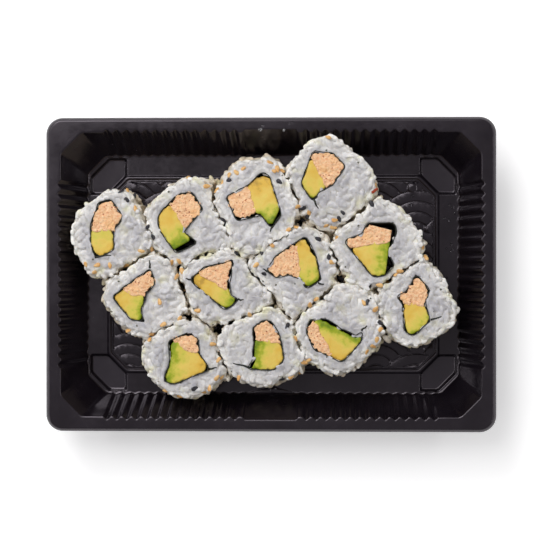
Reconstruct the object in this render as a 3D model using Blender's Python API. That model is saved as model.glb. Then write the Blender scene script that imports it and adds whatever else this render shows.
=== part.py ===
"""Takeaway sushi tray: twelve inside-out rolls standing in a black thermoformed tray.

The tray is one sheet: a flange with a turned-down lip, fluted sloping walls, four sunk corner
feet and a raised middle panel. Each roll is four solids: the rice outside, the nori that lines
its pocket, and the two halves of the filling, fish and avocado. Lengths are in millimetres and
turn into metres when a mesh is written. The origin is at the middle of the tray, on the surface
that its feet stand on. +X runs along the tray and +Z is up.
"""
from collections import namedtuple
from math import cos, pi, radians, sin

import bmesh
import bpy
from mathutils import Vector

MM = 0.001
GAP = 0.3

# Tray
TRAY_LENGTH = 216.0
TRAY_WIDTH = 150.6
TRAY_HEIGHT = 25.0
TRAY_CORNER = 8.0
SHEET = 0.7
LIP_WIDTH = 1.6
LIP_DROP = 1.8
MOUTH_LENGTH = 201.6
MOUTH_WIDTH = 136.0
MOUTH_CHAMFER = 9.8
FOOT_LINE_LENGTH = 180.7
FOOT_LINE_WIDTH = 116.0
FOOT_LINE_CHAMFER = 8.6
LEDGE_HEIGHT = 3.0

# Flutes: grooves pressed outwards into the walls
LONG_FLUTES = 14
LONG_FLUTE_PITCH = 4.73
LONG_PLAIN_HALF = 13.6
SHORT_FLUTES = 19
SHORT_FLUTE_PITCH = 4.84
FLUTE_DEPTH = 1.4
FLUTE_WIDTH = 3.1
FLUTE_FLANK = 0.95
FLUTE_FAN = 0.975

# Corner feet and middle panel
PAD_OUTER_X = 89.2
PAD_OUTER_Y = 56.8
PAD_INNER_X = 71.2
PAD_INNER_Y = 38.7
PAD_CHAMFER = 9.0
PAD_DRAFT = 1.1
PANEL_LENGTH = 161.6
PANEL_WIDTH = 96.2
PANEL_CHAMFER = 9.4
PANEL_RISE = 0.6
PANEL_DRAFT = 0.6

# Rolls
ROLL_HEIGHT = 24.0
OUTLINE_POINTS = 24
NORI = 0.5
CORNER_CUT = 0.7
FLOOR = LEDGE_HEIGHT + PANEL_RISE + GAP
FILLING_DROP = 0.5
LEAST_RICE = 1.4
WALL_CLEAR = 0.6
PACKING_PASSES = 14

# A standing roll's side: share of its height, and share of its full outline at that height
BARREL = ((0.0, 0.90), (0.36, 0.985), (0.78, 1.0), (0.95, 0.955))
FULLEST = 0.78
CROWN_WAY_IN = 0.42

Roll = namedtuple("Roll", "name centre lean tilt reach pocket seam seam_turn")

# centre: where the roll stands, x and y.
# lean: how far its top stands off its foot, x and y. tilt: slope of the cut face along x and y.
# reach: the rice's outline, from the centre, every 30 degrees from +X anticlockwise.
# pocket: corners of the nori-lined pocket from the centre, clockwise, each with how far the
# filling stays back from it.
# seam, seam_turn: a point on the join of fish and avocado, and the way it runs, in degrees;
# the fish lies on the left of that way.
ROLLS = (
    Roll("01", (-76.2, 19.9), (-4.0, 0.5), (0.03, 0.0),
         (19.5, 17.0, 21.3, 21.6, 18.3, 20.0, 19.3, 20.2, 22.3, 20.0, 17.0, 19.5),
         ((-6.2, 14.6, 0.8), (0.0, 16.2, 0.8), (5.7, 7.5, 0.8), (0.8, 1.2, 0.8),
          (1.5, -8.2, 0.8), (-7.2, -12.2, 1.0), (-10.3, -4.5, 0.8), (-9.8, 5.0, 0.8)),
         (-5.0, 0.8), 2),
    Roll("02", (-41.2, 28.5), (-2.0, -1.0), (-0.02, 0.0),
         (15.8, 15.8, 20.1, 18.4, 15.8, 16.3, 19.1, 18.2, 21.6, 22.5, 21.1, 26.5),
         ((9.1, 2.8, 0.8), (-0.2, -8.0, 0.8), (6.5, -13.4, 3.6), (-4.0, -18.5, 1.2),
          (-12.0, -7.0, 0.8), (-12.7, 0.0, 1.0), (-2.9, 10.0, 0.8), (3.7, 11.0, 0.8)),
         (-3.2, -1.0), -57),
    Roll("03", (-7.2, 33.8), (2.5, -2.5), (0.03, -0.04),
         (20.3, 18.7, 23.0, 22.0, 22.8, 20.3, 20.2, 17.0, 22.3, 24.0, 20.4, 21.1),
         ((6.8, 13.4, 1.2), (13.0, -5.0, 2.4), (8.0, -12.0, 1.6), (3.0, -5.4, 0.8),
          (-8.6, -8.2, 1.0), (-13.9, 3.5, 0.8), (-4.4, 8.2, 0.8), (3.6, 15.2, 1.6)),
         (-1.0, 2.0), 106),
    Roll("04", (29.7, 43.8), (1.0, 8.0), (0.0, 0.03),
         (22.0, 18.9, 18.7, 22.8, 22.5, 22.0, 21.0, 17.8, 21.1, 21.6, 18.9, 20.8),
         ((-9.2, 15.2, 0.8), (0.6, 14.2, 0.8), (6.7, 8.0, 0.8), (0.9, -0.5, 0.8),
          (-6.0, -4.4, 0.8), (-9.0, -9.4, 1.2), (-14.9, -0.6, 0.8), (-11.6, 8.5, 0.8)),
         (-6.5, 5.0), -64),
    Roll("05", (-60.9, -10.8), (1.5, 1.5), (0.0, 0.02),
         (18.2, 17.7, 21.6, 19.0, 16.1, 18.0, 20.4, 18.2, 18.0, 20.6, 18.0, 22.0),
         ((3.4, 13.8, 1.4), (6.1, 6.8, 0.8), (1.6, 1.5, 0.8), (-1.0, -7.0, 0.8),
          (0.4, -12.0, 1.0), (-6.2, -10.6, 0.8), (-14.8, 0.2, 1.2), (-8.0, 5.6, 0.8)),
         (-4.0, 1.2), -15),
    Roll("06", (-22.1, -7.4), (0.0, 0.5), (0.0, 0.0),
         (22.0, 15.6, 16.8, 18.5, 19.2, 21.1, 18.0, 17.0, 17.0, 17.2, 15.6, 21.8),
         ((5.6, 16.8, 0.8), (2.8, 3.0, 0.8), (3.4, -2.4, 0.8), (7.8, -4.7, 1.2),
          (0.6, -9.6, 0.8), (-9.6, -1.2, 0.8), (-16.8, 5.0, 1.6), (-8.9, 11.2, 0.8)),
         (-4.5, 3.2), -30),
    Roll("07", (11.0, 1.7), (-2.0, 0.5), (-0.02, 0.0),
         (21.6, 21.1, 22.3, 19.9, 16.5, 18.5, 20.2, 15.0, 14.5, 23.3, 18.2, 19.0),
         ((6.2, 16.8, 1.4), (11.2, 6.9, 0.8), (13.5, -4.3, 1.0), (6.4, -8.7, 1.0),
          (4.2, -4.2, 0.8), (-2.0, -1.8, 0.8), (-8.4, -3.3, 0.8), (-12.6, 0.2, 1.2),
          (-8.2, 7.2, 0.8)),
         (2.8, 5.0), 94),
    Roll("08", (52.2, 15.1), (1.0, 1.0), (0.0, 0.0),
         (22.3, 19.7, 20.4, 21.9, 16.9, 18.0, 22.5, 22.5, 21.5, 20.6, 17.0, 20.8),
         ((-5.5, 9.3, 1.6), (7.2, 9.6, 4.0), (8.4, 4.9, 1.0), (4.6, -5.0, 0.8),
          (7.2, -11.0, 3.2), (2.0, -16.0, 1.0), (-3.4, -15.9, 0.8), (-16.8, 1.0, 1.4),
          (-8.4, 4.2, 0.8)),
         (-4.0, -1.0), 10),
    Roll("09", (-41.7, -40.5), (-0.5, 1.0), (0.0, 0.02),
         (19.0, 16.1, 19.3, 19.0, 16.6, 19.3, 20.7, 18.6, 18.7, 19.6, 20.1, 21.6),
         ((-7.0, 8.6, 0.8), (2.8, 12.8, 0.8), (7.5, 10.0, 0.8), (7.8, 2.5, 0.8),
          (13.0, -5.0, 1.2), (-4.9, -12.4, 0.8), (-9.7, -10.2, 1.4), (-6.3, -2.0, 0.8)),
         (0.8, 5.2), -25),
    Roll("10", (-3.9, -35.2), (-1.5, 1.5), (-0.02, 0.02),
         (19.0, 17.7, 19.5, 18.4, 16.8, 20.2, 21.3, 19.4, 19.6, 18.9, 19.2, 22.2),
         ((-4.4, 9.6, 0.8), (0.0, 13.0, 0.8), (4.5, 13.1, 0.8), (8.6, 6.5, 0.8),
          (10.8, -5.8, 0.8), (5.5, -10.6, 0.8), (-7.4, -10.2, 1.0), (-4.4, -5.6, 0.8),
          (-3.8, 3.0, 0.8)),
         (2.5, 2.8), -10),
    Roll("11", (33.5, -27.1), (-2.0, 2.0), (0.0, 0.03),
         (21.6, 20.5, 22.3, 20.6, 15.8, 19.2, 21.7, 20.6, 21.1, 21.4, 18.9, 19.4),
         ((-14.2, 5.8, 0.8), (-6.6, 6.0, 0.8), (1.0, 1.0, 0.8), (8.0, -2.2, 0.8),
          (11.6, 1.4, 1.0), (9.8, -5.5, 0.8), (1.0, -15.0, 0.8), (-12.2, -9.0, 0.8),
          (-16.2, 0.0, 0.8)),
         (-7.5, -4.0), 117),
    Roll("12", (69.9, -14.1), (1.5, 0.0), (0.0, 0.0),
         (19.4, 17.5, 20.6, 20.7, 17.0, 17.9, 19.2, 18.4, 20.6, 20.9, 18.9, 21.1),
         ((0.0, 14.3, 1.0), (6.7, 6.4, 0.8), (4.2, 0.8, 0.8), (6.9, -8.0, 1.2),
          (-1.5, -15.3, 0.8), (-5.6, -13.0, 0.8), (-6.8, 0.3, 0.8), (-9.9, 4.0, 1.0),
          (-4.6, 6.0, 0.8)),
         (-1.5, -0.7), -10),
)

# Colour, roughness
TRAY_FINISH = ((0.030, 0.027, 0.030), 0.36)
RICE_FINISH = ((0.72, 0.71, 0.68), 0.55)
NORI_FINISH = ((0.012, 0.014, 0.009), 0.50)
FISH_FINISH = ((0.83, 0.55, 0.35), 0.55)
AVOCADO_FINISH = ((0.62, 0.60, 0.12), 0.45)


def clear_scene():
    """Start from an empty scene."""
    for old in list(bpy.data.objects):
        bpy.data.objects.remove(old, do_unlink=True)


def finish(name, look):
    """A plain Principled material of the given colour and roughness."""
    colour, roughness = look
    material = bpy.data.materials.new(name)
    material.use_nodes = True
    shader = material.node_tree.nodes["Principled BSDF"]
    shader.inputs["Base Color"].default_value = (*colour, 1.0)
    shader.inputs["Roughness"].default_value = roughness
    shader.inputs["Metallic"].default_value = 0.0
    return material


def add_object(name, bm, look):
    """Turn a bmesh in millimetres into a named object in metres."""
    bmesh.ops.scale(bm, vec=(MM, MM, MM), verts=bm.verts)
    bmesh.ops.recalc_face_normals(bm, faces=bm.faces)
    mesh = bpy.data.meshes.new(name)
    bm.to_mesh(mesh)
    bm.free()
    obj = bpy.data.objects.new(name, mesh)
    obj.data.materials.append(finish(name, look))
    bpy.context.scene.collection.objects.link(obj)
    return obj


def add_loop(bm, points):
    """Add a closed loop of vertices and edges."""
    verts = [bm.verts.new(point) for point in points]
    for first, second in zip(verts, verts[1:] + verts[:1]):
        bm.edges.new((first, second))
    return verts


def skin(bm, lower, upper):
    """Join two loops of the same count with a band of faces."""
    count = len(lower)
    for i in range(count):
        j = (i + 1) % count
        bm.faces.new((lower[i], lower[j], upper[j], upper[i]))


def fill_between(bm, *loops):
    """Close the flat region inside the first loop and outside the others."""
    edges = []
    for loop in loops:
        for first, second in zip(loop, loop[1:] + loop[:1]):
            edges.append(bm.edges.get((first, second)))
    bmesh.ops.triangle_fill(bm, edges=edges, use_beauty=True, normal=(0.0, 0.0, 1.0))


# ---------------------------------------------------------------------------- tray

def rounded_rectangle(length, width, radius, height, steps=6):
    """Points of a rounded rectangle, anticlockwise from the +X +Y corner."""
    points = []
    for turn, (sx, sy) in enumerate(((1, 1), (-1, 1), (-1, -1), (1, -1))):
        middle = Vector((sx * (length / 2 - radius), sy * (width / 2 - radius), height))
        for step in range(steps + 1):
            angle = (turn + step / steps) * pi / 2
            points.append(middle + radius * Vector((cos(angle), sin(angle), 0.0)))
    return points


def chamfered_rectangle(length, width, chamfer, height):
    """Eight points of a rectangle with its corners cut at 45 degrees."""
    x, y = length / 2, width / 2
    corners = ((x, y - chamfer), (x - chamfer, y), (chamfer - x, y), (-x, y - chamfer),
               (-x, chamfer - y), (chamfer - x, -y), (x - chamfer, -y), (x, chamfer - y))
    return [Vector((*corner, height)) for corner in corners]


def groove(middle, width, depth):
    """Four points of one groove: place along the wall, and push outwards."""
    half = width / 2
    return [(middle - half, 0.0), (middle - half + FLUTE_FLANK, depth),
            (middle + half - FLUTE_FLANK, depth), (middle + half, 0.0)]


def long_wall_profile():
    """Grooves along a long wall, with a wide plain recess in the middle."""
    profile = []
    for flute in reversed(range(LONG_FLUTES)):
        middle = -(LONG_PLAIN_HALF + (flute + 0.75) * LONG_FLUTE_PITCH)
        profile += groove(middle, FLUTE_WIDTH, FLUTE_DEPTH)
    profile += groove(0.0, 2 * LONG_PLAIN_HALF, FLUTE_DEPTH)
    for flute in range(LONG_FLUTES):
        middle = LONG_PLAIN_HALF + (flute + 0.75) * LONG_FLUTE_PITCH
        profile += groove(middle, FLUTE_WIDTH, FLUTE_DEPTH)
    return profile


def short_wall_profile():
    """Grooves evenly along a short wall."""
    profile = []
    for flute in range(SHORT_FLUTES):
        middle = (flute - (SHORT_FLUTES - 1) / 2) * SHORT_FLUTE_PITCH
        profile += groove(middle, FLUTE_WIDTH, FLUTE_DEPTH)
    return profile


def fluted_outline(length, width, chamfer, height, fan):
    """The wall's outline at one height, anticlockwise; fan draws its grooves together."""
    x, y = length / 2, width / 2
    long_wall = [(along * fan, push) for along, push in long_wall_profile()]
    short_wall = [(along * fan, push) for along, push in short_wall_profile()]
    points = [(x, chamfer - y)]
    points += [(x + push, along) for along, push in short_wall]
    points += [(x, y - chamfer), (x - chamfer, y)]
    points += [(-along, y + push) for along, push in long_wall]
    points += [(chamfer - x, y), (-x, y - chamfer)]
    points += [(-x - push, -along) for along, push in short_wall]
    points += [(-x, chamfer - y), (chamfer - x, -y)]
    points += [(along, -y - push) for along, push in long_wall]
    points += [(x - chamfer, -y)]
    return [Vector((*point, height)) for point in points]


def pad_outline(sx, sy, inset, height):
    """One corner foot: a square with its outer and inner corners cut off, six points."""
    x_out, y_out = PAD_OUTER_X - inset, PAD_OUTER_Y - inset
    x_in, y_in = PAD_INNER_X + inset, PAD_INNER_Y + inset
    cut = PAD_CHAMFER - inset * 0.6
    corners = ((x_out, y_in), (x_out, y_out - cut), (x_out - cut, y_out),
               (x_in, y_out), (x_in, y_in + cut), (x_in + cut, y_in))
    return [Vector((sx * x, sy * y, height)) for x, y in corners]


def build_tray():
    """The tray's upper face as one sheet, thickened downwards and outwards."""
    bm = bmesh.new()
    lip = add_loop(bm, rounded_rectangle(
        TRAY_LENGTH, TRAY_WIDTH, TRAY_CORNER, TRAY_HEIGHT - LIP_DROP))
    flange = add_loop(bm, rounded_rectangle(
        TRAY_LENGTH - 2 * LIP_WIDTH, TRAY_WIDTH - 2 * LIP_WIDTH, TRAY_CORNER - LIP_WIDTH,
        TRAY_HEIGHT))
    mouth = add_loop(bm, fluted_outline(
        MOUTH_LENGTH, MOUTH_WIDTH, MOUTH_CHAMFER, TRAY_HEIGHT, 1.0))
    foot_line = add_loop(bm, fluted_outline(
        FOOT_LINE_LENGTH, FOOT_LINE_WIDTH, FOOT_LINE_CHAMFER, LEDGE_HEIGHT, FLUTE_FAN))
    skin(bm, lip, flange)
    fill_between(bm, flange, mouth)
    skin(bm, foot_line, mouth)

    sunk = []
    for sx, sy in ((1, 1), (-1, 1), (-1, -1), (1, -1)):
        top = add_loop(bm, pad_outline(sx, sy, 0.0, LEDGE_HEIGHT))
        bottom = add_loop(bm, pad_outline(sx, sy, PAD_DRAFT, SHEET))
        skin(bm, bottom, top)
        bm.faces.new(bottom)
        sunk.append(top)
    panel_foot = add_loop(bm, chamfered_rectangle(
        PANEL_LENGTH, PANEL_WIDTH, PANEL_CHAMFER, LEDGE_HEIGHT))
    panel_top = add_loop(bm, chamfered_rectangle(
        PANEL_LENGTH - 2 * PANEL_DRAFT, PANEL_WIDTH - 2 * PANEL_DRAFT,
        PANEL_CHAMFER - 0.6 * PANEL_DRAFT, LEDGE_HEIGHT + PANEL_RISE))
    skin(bm, panel_foot, panel_top)
    bm.faces.new(panel_top)
    fill_between(bm, foot_line, panel_foot, *sunk)

    tray = add_object("tray", bm, TRAY_FINISH)
    if sum(face.normal.z * face.area for face in tray.data.polygons) < 0:
        tray.data.flip_normals()
    thickness = tray.modifiers.new("Sheet", "SOLIDIFY")
    thickness.thickness = SHEET * MM
    thickness.offset = -1.0
    thickness.use_even_offset = True
    return tray


# --------------------------------------------------------------------------- rolls

def reach_at(reach, share):
    """Smooth closed curve through the even-angle reaches; share runs from 0 to 1."""
    count = len(reach)
    place = share * count
    i = int(place)
    t = place - i
    a, b, c, d = (reach[(i + k) % count] for k in (-1, 0, 1, 2))
    return b + 0.5 * t * (c - a + t * (2 * a - 5 * b + 4 * c - d + t * (3 * (b - c) + d - a)))


def roll_outline(roll, scale, height_share):
    """The rice's outline at one height, before its neighbours press on it."""
    lean = Vector(roll.lean) * (height_share - FULLEST)
    middle = Vector(roll.centre) + lean
    points = []
    for i in range(OUTLINE_POINTS):
        share = i / OUTLINE_POINTS
        angle = share * 2 * pi
        points.append(middle + scale * reach_at(roll.reach, share) * Vector((cos(angle), sin(angle))))
    return middle, points


def distance_outside(point, outline):
    """Distance from a point to an outline, negative inside it."""
    best = None
    inside = False
    for a, b in zip(outline, outline[1:] + outline[:1]):
        edge = b - a
        t = max(0.0, min(1.0, (point - a).dot(edge) / edge.length_squared))
        away = (point - a - t * edge).length
        if best is None or away < best:
            best = away
        if (a.y > point.y) != (b.y > point.y):
            if point.x < a.x + (point.y - a.y) / (b.y - a.y) * (b.x - a.x):
                inside = not inside
    return -best if inside else best


def hold_inside_walls(point, height):
    """Keep a point clear of the tray's sloping walls at the given height."""
    rise = (height - LEDGE_HEIGHT) / (TRAY_HEIGHT - LEDGE_HEIGHT)
    rise = min(1.0, rise)
    half_x = (FOOT_LINE_LENGTH + rise * (MOUTH_LENGTH - FOOT_LINE_LENGTH)) / 2 - WALL_CLEAR
    half_y = (FOOT_LINE_WIDTH + rise * (MOUTH_WIDTH - FOOT_LINE_WIDTH)) / 2 - WALL_CLEAR
    return Vector((max(-half_x, min(half_x, point.x)), max(-half_y, min(half_y, point.y))))


def pack_outlines(middles, outlines, height):
    """Flatten the rolls where they press on each other and on the walls."""
    reach = [max((p - m).length for p in outline) for m, outline in zip(middles, outlines)]
    for _ in range(PACKING_PASSES):
        pressed = [list(outline) for outline in outlines]
        for i, middle in enumerate(middles):
            near = [j for j in range(len(middles))
                    if j != i and (middles[j] - middle).length < reach[i] + reach[j] + GAP]
            for k, point in enumerate(outlines[i]):
                overlap = max((1.6 * GAP - distance_outside(point, outlines[j]) for j in near),
                              default=0.0)
                if overlap > 0.0:
                    inwards = (middle - point).normalized()
                    point = point + inwards * (0.55 * overlap)
                pressed[i][k] = hold_inside_walls(point, height)
        outlines = pressed
    return outlines


def inset_polygon(corners, inset):
    """Move every edge of an anticlockwise polygon inwards and meet them again."""
    count = len(corners)
    moved = []
    for i in range(count):
        before = (corners[i] - corners[i - 1]).normalized()
        after = (corners[(i + 1) % count] - corners[i]).normalized()
        inward = Vector((-before.y, before.x)) + Vector((-after.y, after.x))
        moved.append(corners[i] + inward * (inset / (1.0 + before.dot(after))))
    return moved


def cut_corners(corners, cuts):
    """Replace each corner with two points, a cut's length back along both edges."""
    points = []
    count = len(corners)
    for i, cut in enumerate(cuts):
        back = corners[i - 1] - corners[i]
        ahead = corners[(i + 1) % count] - corners[i]
        points.append(corners[i] + back.normalized() * min(cut, 0.45 * back.length))
        points.append(corners[i] + ahead.normalized() * min(cut, 0.45 * ahead.length))
    return points


def half_of(polygon, point, inward):
    """The part of a polygon on the inward side of a line."""
    kept = []
    for a, b in zip(polygon, polygon[1:] + polygon[:1]):
        side_a = (a - point).dot(inward)
        side_b = (b - point).dot(inward)
        if side_a >= 0:
            kept.append(a)
        if side_a * side_b < 0:
            kept.append(a + (b - a) * (side_a / (side_a - side_b)))
    return kept


def face_height(roll, point, drop=0.0):
    """Height of the roll's cut face above a point."""
    away = point - Vector(roll.centre)
    return FLOOR + ROLL_HEIGHT - drop + Vector(roll.tilt).dot(away)


def nearest_on(point, outline):
    """Nearest place on an outline."""
    best = None
    for a, b in zip(outline, outline[1:] + outline[:1]):
        edge = b - a
        t = max(0.0, min(1.0, (point - a).dot(edge) / edge.length_squared))
        place = a + t * edge
        if best is None or (place - point).length < (best - point).length:
            best = place
    return best


def at_foot(roll, point):
    """Where a point of the cut face comes out at the roll's foot."""
    centre = Vector(roll.centre)
    return centre + BARREL[0][1] * (point - centre) - FULLEST * Vector(roll.lean)


def keep_in_rice(roll, corner, sides):
    """Draw a pocket corner in until enough rice is left around it, at the top and the foot."""
    inwards = (Vector(roll.centre) - corner).normalized()
    while (distance_outside(corner, sides[-1]) > -LEAST_RICE
           or distance_outside(at_foot(roll, corner), sides[0]) > -LEAST_RICE):
        corner = corner + 0.2 * inwards
    return corner


def build_rice(roll, sides, pocket):
    """The rice: a barrel side, a crowned cut face and the pocket's wall, one closed solid."""
    bm = bmesh.new()
    rings = []
    for (share, _), outline in zip(BARREL, sides):
        points = []
        for point in outline:
            height = FLOOR + share * ROLL_HEIGHT
            if share > FULLEST:
                height = face_height(roll, point, (1.0 - share) * ROLL_HEIGHT)
            points.append((*point, height))
        rings.append(add_loop(bm, points))
    for lower, upper in zip(rings, rings[1:]):
        skin(bm, lower, upper)
    crown_points = []
    for point in sides[-1]:
        inner = point.lerp(nearest_on(point, pocket), CROWN_WAY_IN)
        crown_points.append((*inner, face_height(roll, inner)))
    crown = add_loop(bm, crown_points)
    skin(bm, rings[-1], crown)
    mouth = add_loop(bm, [(*p, face_height(roll, p, GAP)) for p in pocket])
    heel = add_loop(bm, [(*at_foot(roll, p), FLOOR) for p in pocket])
    fill_between(bm, crown, mouth)
    skin(bm, heel, mouth)
    fill_between(bm, rings[0], heel)
    return add_object("rice_" + roll.name, bm, RICE_FINISH)


def build_nori(roll, outer, inner):
    """The nori: a thin wall that lines the pocket from top to bottom."""
    bm = bmesh.new()
    rings = []
    for outline in (outer, inner):
        rings.append(add_loop(bm, [(*at_foot(roll, p), FLOOR) for p in outline]))
        rings.append(add_loop(bm, [(*p, face_height(roll, p, GAP)) for p in outline]))
    outer_foot, outer_top, inner_foot, inner_top = rings
    skin(bm, outer_foot, outer_top)
    skin(bm, outer_top, inner_top)
    skin(bm, inner_top, inner_foot)
    skin(bm, inner_foot, outer_foot)
    return add_object("nori_" + roll.name, bm, NORI_FINISH)


def build_filling(name, roll, outline, look):
    """One half of the filling, running through the roll."""
    bm = bmesh.new()
    foot = add_loop(bm, [(*at_foot(roll, p), FLOOR) for p in outline])
    top = add_loop(bm, [(*p, face_height(roll, p, FILLING_DROP)) for p in outline])
    skin(bm, foot, top)
    bm.faces.new(foot)
    bm.faces.new(top)
    return add_object(name + "_" + roll.name, bm, look)


def build_roll(roll, sides):
    """The four solids of one roll."""
    centre = Vector(roll.centre)
    marks = roll.pocket[::-1]
    corners = [keep_in_rice(roll, centre + Vector((x, y)), sides) for x, y, _ in marks]
    backs = [back for _, _, back in marks]
    plain = [CORNER_CUT] * len(corners)
    pocket = cut_corners(corners, plain)
    nori_outer = cut_corners(inset_polygon(corners, GAP), plain)
    nori_inner = cut_corners(inset_polygon(corners, GAP + NORI), plain)
    filling = cut_corners(inset_polygon(corners, 2 * GAP + NORI), backs)
    build_rice(roll, sides, pocket)
    build_nori(roll, nori_outer, nori_inner)
    turn = radians(roll.seam_turn)
    to_fish = Vector((-sin(turn), cos(turn)))
    seam = centre + Vector(roll.seam)
    fish = half_of(filling, seam + to_fish * GAP / 2, to_fish)
    avocado = half_of(filling, seam - to_fish * GAP / 2, -to_fish)
    build_filling("fish", roll, fish, FISH_FINISH)
    build_filling("avocado", roll, avocado, AVOCADO_FINISH)


def build_rolls():
    """Pack the twelve outlines level by level, then build each roll from its levels."""
    levels = []
    for share, scale in BARREL:
        pairs = [roll_outline(roll, scale, share) for roll in ROLLS]
        middles = [middle for middle, _ in pairs]
        outlines = [outline for _, outline in pairs]
        levels.append(pack_outlines(middles, outlines, FLOOR + share * ROLL_HEIGHT))
    for i, roll in enumerate(ROLLS):
        build_roll(roll, [level[i] for level in levels])


clear_scene()
build_tray()
build_rolls()
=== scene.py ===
"""A takeaway sushi tray: twelve inside-out rolls standing in a black pressed tray.

The sections follow the way the real thing is put together: the pressed tray, the rice, the nori,
the fish and the avocado of each roll, the sesame, and the water left on the plastic. Lengths are
in millimetres, and MM turns them into metres.
"""
import random
from math import atan2, ceil, cos, hypot, pi, radians, sin, sqrt

import bmesh
import bpy
import numpy as np
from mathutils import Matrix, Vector, geometry, noise
from mathutils.bvhtree import BVHTree
from mathutils.kdtree import KDTree


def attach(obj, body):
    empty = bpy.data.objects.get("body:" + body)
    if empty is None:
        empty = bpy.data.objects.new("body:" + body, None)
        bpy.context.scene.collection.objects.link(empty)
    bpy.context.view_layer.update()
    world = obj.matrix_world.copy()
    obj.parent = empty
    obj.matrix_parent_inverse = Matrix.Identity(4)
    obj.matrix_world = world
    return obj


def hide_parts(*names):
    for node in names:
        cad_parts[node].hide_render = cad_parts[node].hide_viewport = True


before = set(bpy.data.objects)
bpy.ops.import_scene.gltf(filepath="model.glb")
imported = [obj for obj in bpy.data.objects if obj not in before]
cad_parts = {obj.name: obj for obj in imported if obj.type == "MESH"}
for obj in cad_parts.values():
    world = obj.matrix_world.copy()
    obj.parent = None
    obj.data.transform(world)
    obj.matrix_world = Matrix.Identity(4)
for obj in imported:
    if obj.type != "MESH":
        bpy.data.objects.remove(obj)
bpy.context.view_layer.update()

MM = 0.001
for old in [o for o in bpy.data.objects if o.type in {"CAMERA", "LIGHT"}]:
    bpy.data.objects.remove(old, do_unlink=True)


# ------------------------------------------------------------------ the pressed tray
# One sheet of black plastic, heated and drawn over a mould. Its walls are fluted for stiffness,
# it stands on four sunk corner feet, and a wave pattern is pressed into the raised middle panel.
TRAY_LENGTH, TRAY_WIDTH, TRAY_HEIGHT = 216.0, 150.6, 25.0
TRAY_CORNER = 8.0
SHEET = 0.7                             # thickness of the plastic
LIP = ((1.9, 0.0), (1.55, 0.05), (1.15, 0.28), (0.5, 1.2), (0.0, 1.8))   # way in, way down
MOUTH, FOOT_LINE = (201.6, 136.0, 9.8), (180.7, 116.0, 8.6)     # length, width, cut corner
CUT_GROWTH = 0.586                      # what a cut corner gains as the sides move out by one
WALL_CURVE, PANEL_CURVE, PAD_CURVE = 1.6, 1.3, 1.0      # how far a corner's curve reaches
LEDGE_HEIGHT = 3.0
MOUTH_FILLET = ((0.85, 0.0), (0.42, 0.07), (0.12, 0.25), (-0.1, 0.65))   # way out, way down
FOOT_FILLET = ((0.45, 1.35), (0.1, 0.75), (-0.25, 0.3), (-0.75, 0.05), (-1.2, 0.0))  # way out, up
WALL_STEPS = 4
FLUTE_DEPTH, FLUTE_HALF, FLUTE_ROUND = 1.4, 1.95, 1.4
LONG_FLUTES, LONG_PITCH, LONG_FIRST = 14, 4.73, 0.75      # how many, how far apart, the first gap
SHORT_FLUTES, SHORT_PITCH = 19, 4.84
PLAIN_HALF, PLAIN_FILL = 13.6, 1.25     # the recess in the middle of a long wall
FLUTE_FAN = 0.975                       # how much closer the flutes stand at the foot
FOOT_DEPTH = 0.45                       # share of the flutes' depth that is left at the foot
FLUTE_POINTS = 8

PAD_OUTER, PAD_INNER, PAD_CHAMFER = (89.2, 56.8), (71.2, 38.7), 9.0
PAD_STEPS = ((-0.35, 0.0), (0.0, 0.08), (0.28, 0.4), (0.8, 1.75), (0.95, 2.02), (1.6, 2.3))
PANEL = (161.6, 96.2, 9.4)
PANEL_STEPS = ((-0.3, 0.0), (0.0, 0.06), (0.15, 0.3), (0.75, 0.56), (1.05, 0.68), (1.45, 0.66),
               (1.75, 0.5), (2.0, 0.2), (2.25, 0.18), (2.55, 0.42), (2.95, 0.6))  # way in, height

WAVE_RADII = (5.0, 10.0, 15.0, 20.0)
WAVE_ACROSS, WAVE_RISE = 40.0, 9.86
WAVE_START = (-70.0, -48.6)
WAVE_DEPTH, WAVE_HALF = 0.5, 0.55
WAVE_STEP = 1.1
ARC_STEPS, ARC_LEAST = 90, 4            # steps of a half circle, and the fewest worth pressing
STUD_PLACE, STUD_RADIUS, STUD_HEIGHT = (67.8, 42.0), 2.4, 0.5
NOTCH_RADIUS, NOTCH_HEIGHT, NOTCH_Y = 2.3, 1.1, 1.7 - FOOT_LINE[1] / 2
WELD = 0.004                            # corners closer than this become one
BORDER_CLEAR = 0.12                     # the waves keep this far off the panel's border


def ring_band(bm, lower, upper):
    """Faces between two rings of the same count."""
    for i in range(len(lower)):
        j = (i + 1) % len(lower)
        bm.faces.new((lower[i], lower[j], upper[j], upper[i]))


def skin(bm, rings, closed=False):
    """Faces from each ring of corners to the next, and over both ends if it is closed."""
    for lower, upper in zip(rings, rings[1:]):
        ring_band(bm, lower, upper)
    if closed:
        bm.faces.new(rings[0][::-1])
        bm.faces.new(rings[-1])


def add_ring(bm, points):
    """The corners of one closed ring, in millimetres."""
    return [bm.verts.new(point) for point in points]


def cut_rectangle(length, width, chamfer, way_out=0.0):
    """Eight corners of a rectangle with cut corners, all sides moved out by the same distance."""
    x, y = length / 2 + way_out, width / 2 + way_out
    cut = chamfer + CUT_GROWTH * way_out
    return [(x, cut - y), (x, y - cut), (x - cut, y), (cut - x, y),
            (-x, y - cut), (-x, cut - y), (cut - x, -y), (x - cut, -y)]


def soft_corners(corners, radius, steps=4):
    """A polygon with each corner drawn as a short curve."""
    points = []
    for i, corner in enumerate(corners):
        corner = Vector(corner)
        before = (Vector(corners[i - 1]) - corner).normalized() * radius
        after = (Vector(corners[(i + 1) % len(corners)]) - corner).normalized() * radius
        for step in range(steps + 1):
            t = step / steps
            points.append(corner + before * (1 - t) ** 2 + after * t ** 2)
    return points


def at_height(points, height):
    """Flat points lifted to one height."""
    return [(point[0], point[1], height) for point in points]


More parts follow.
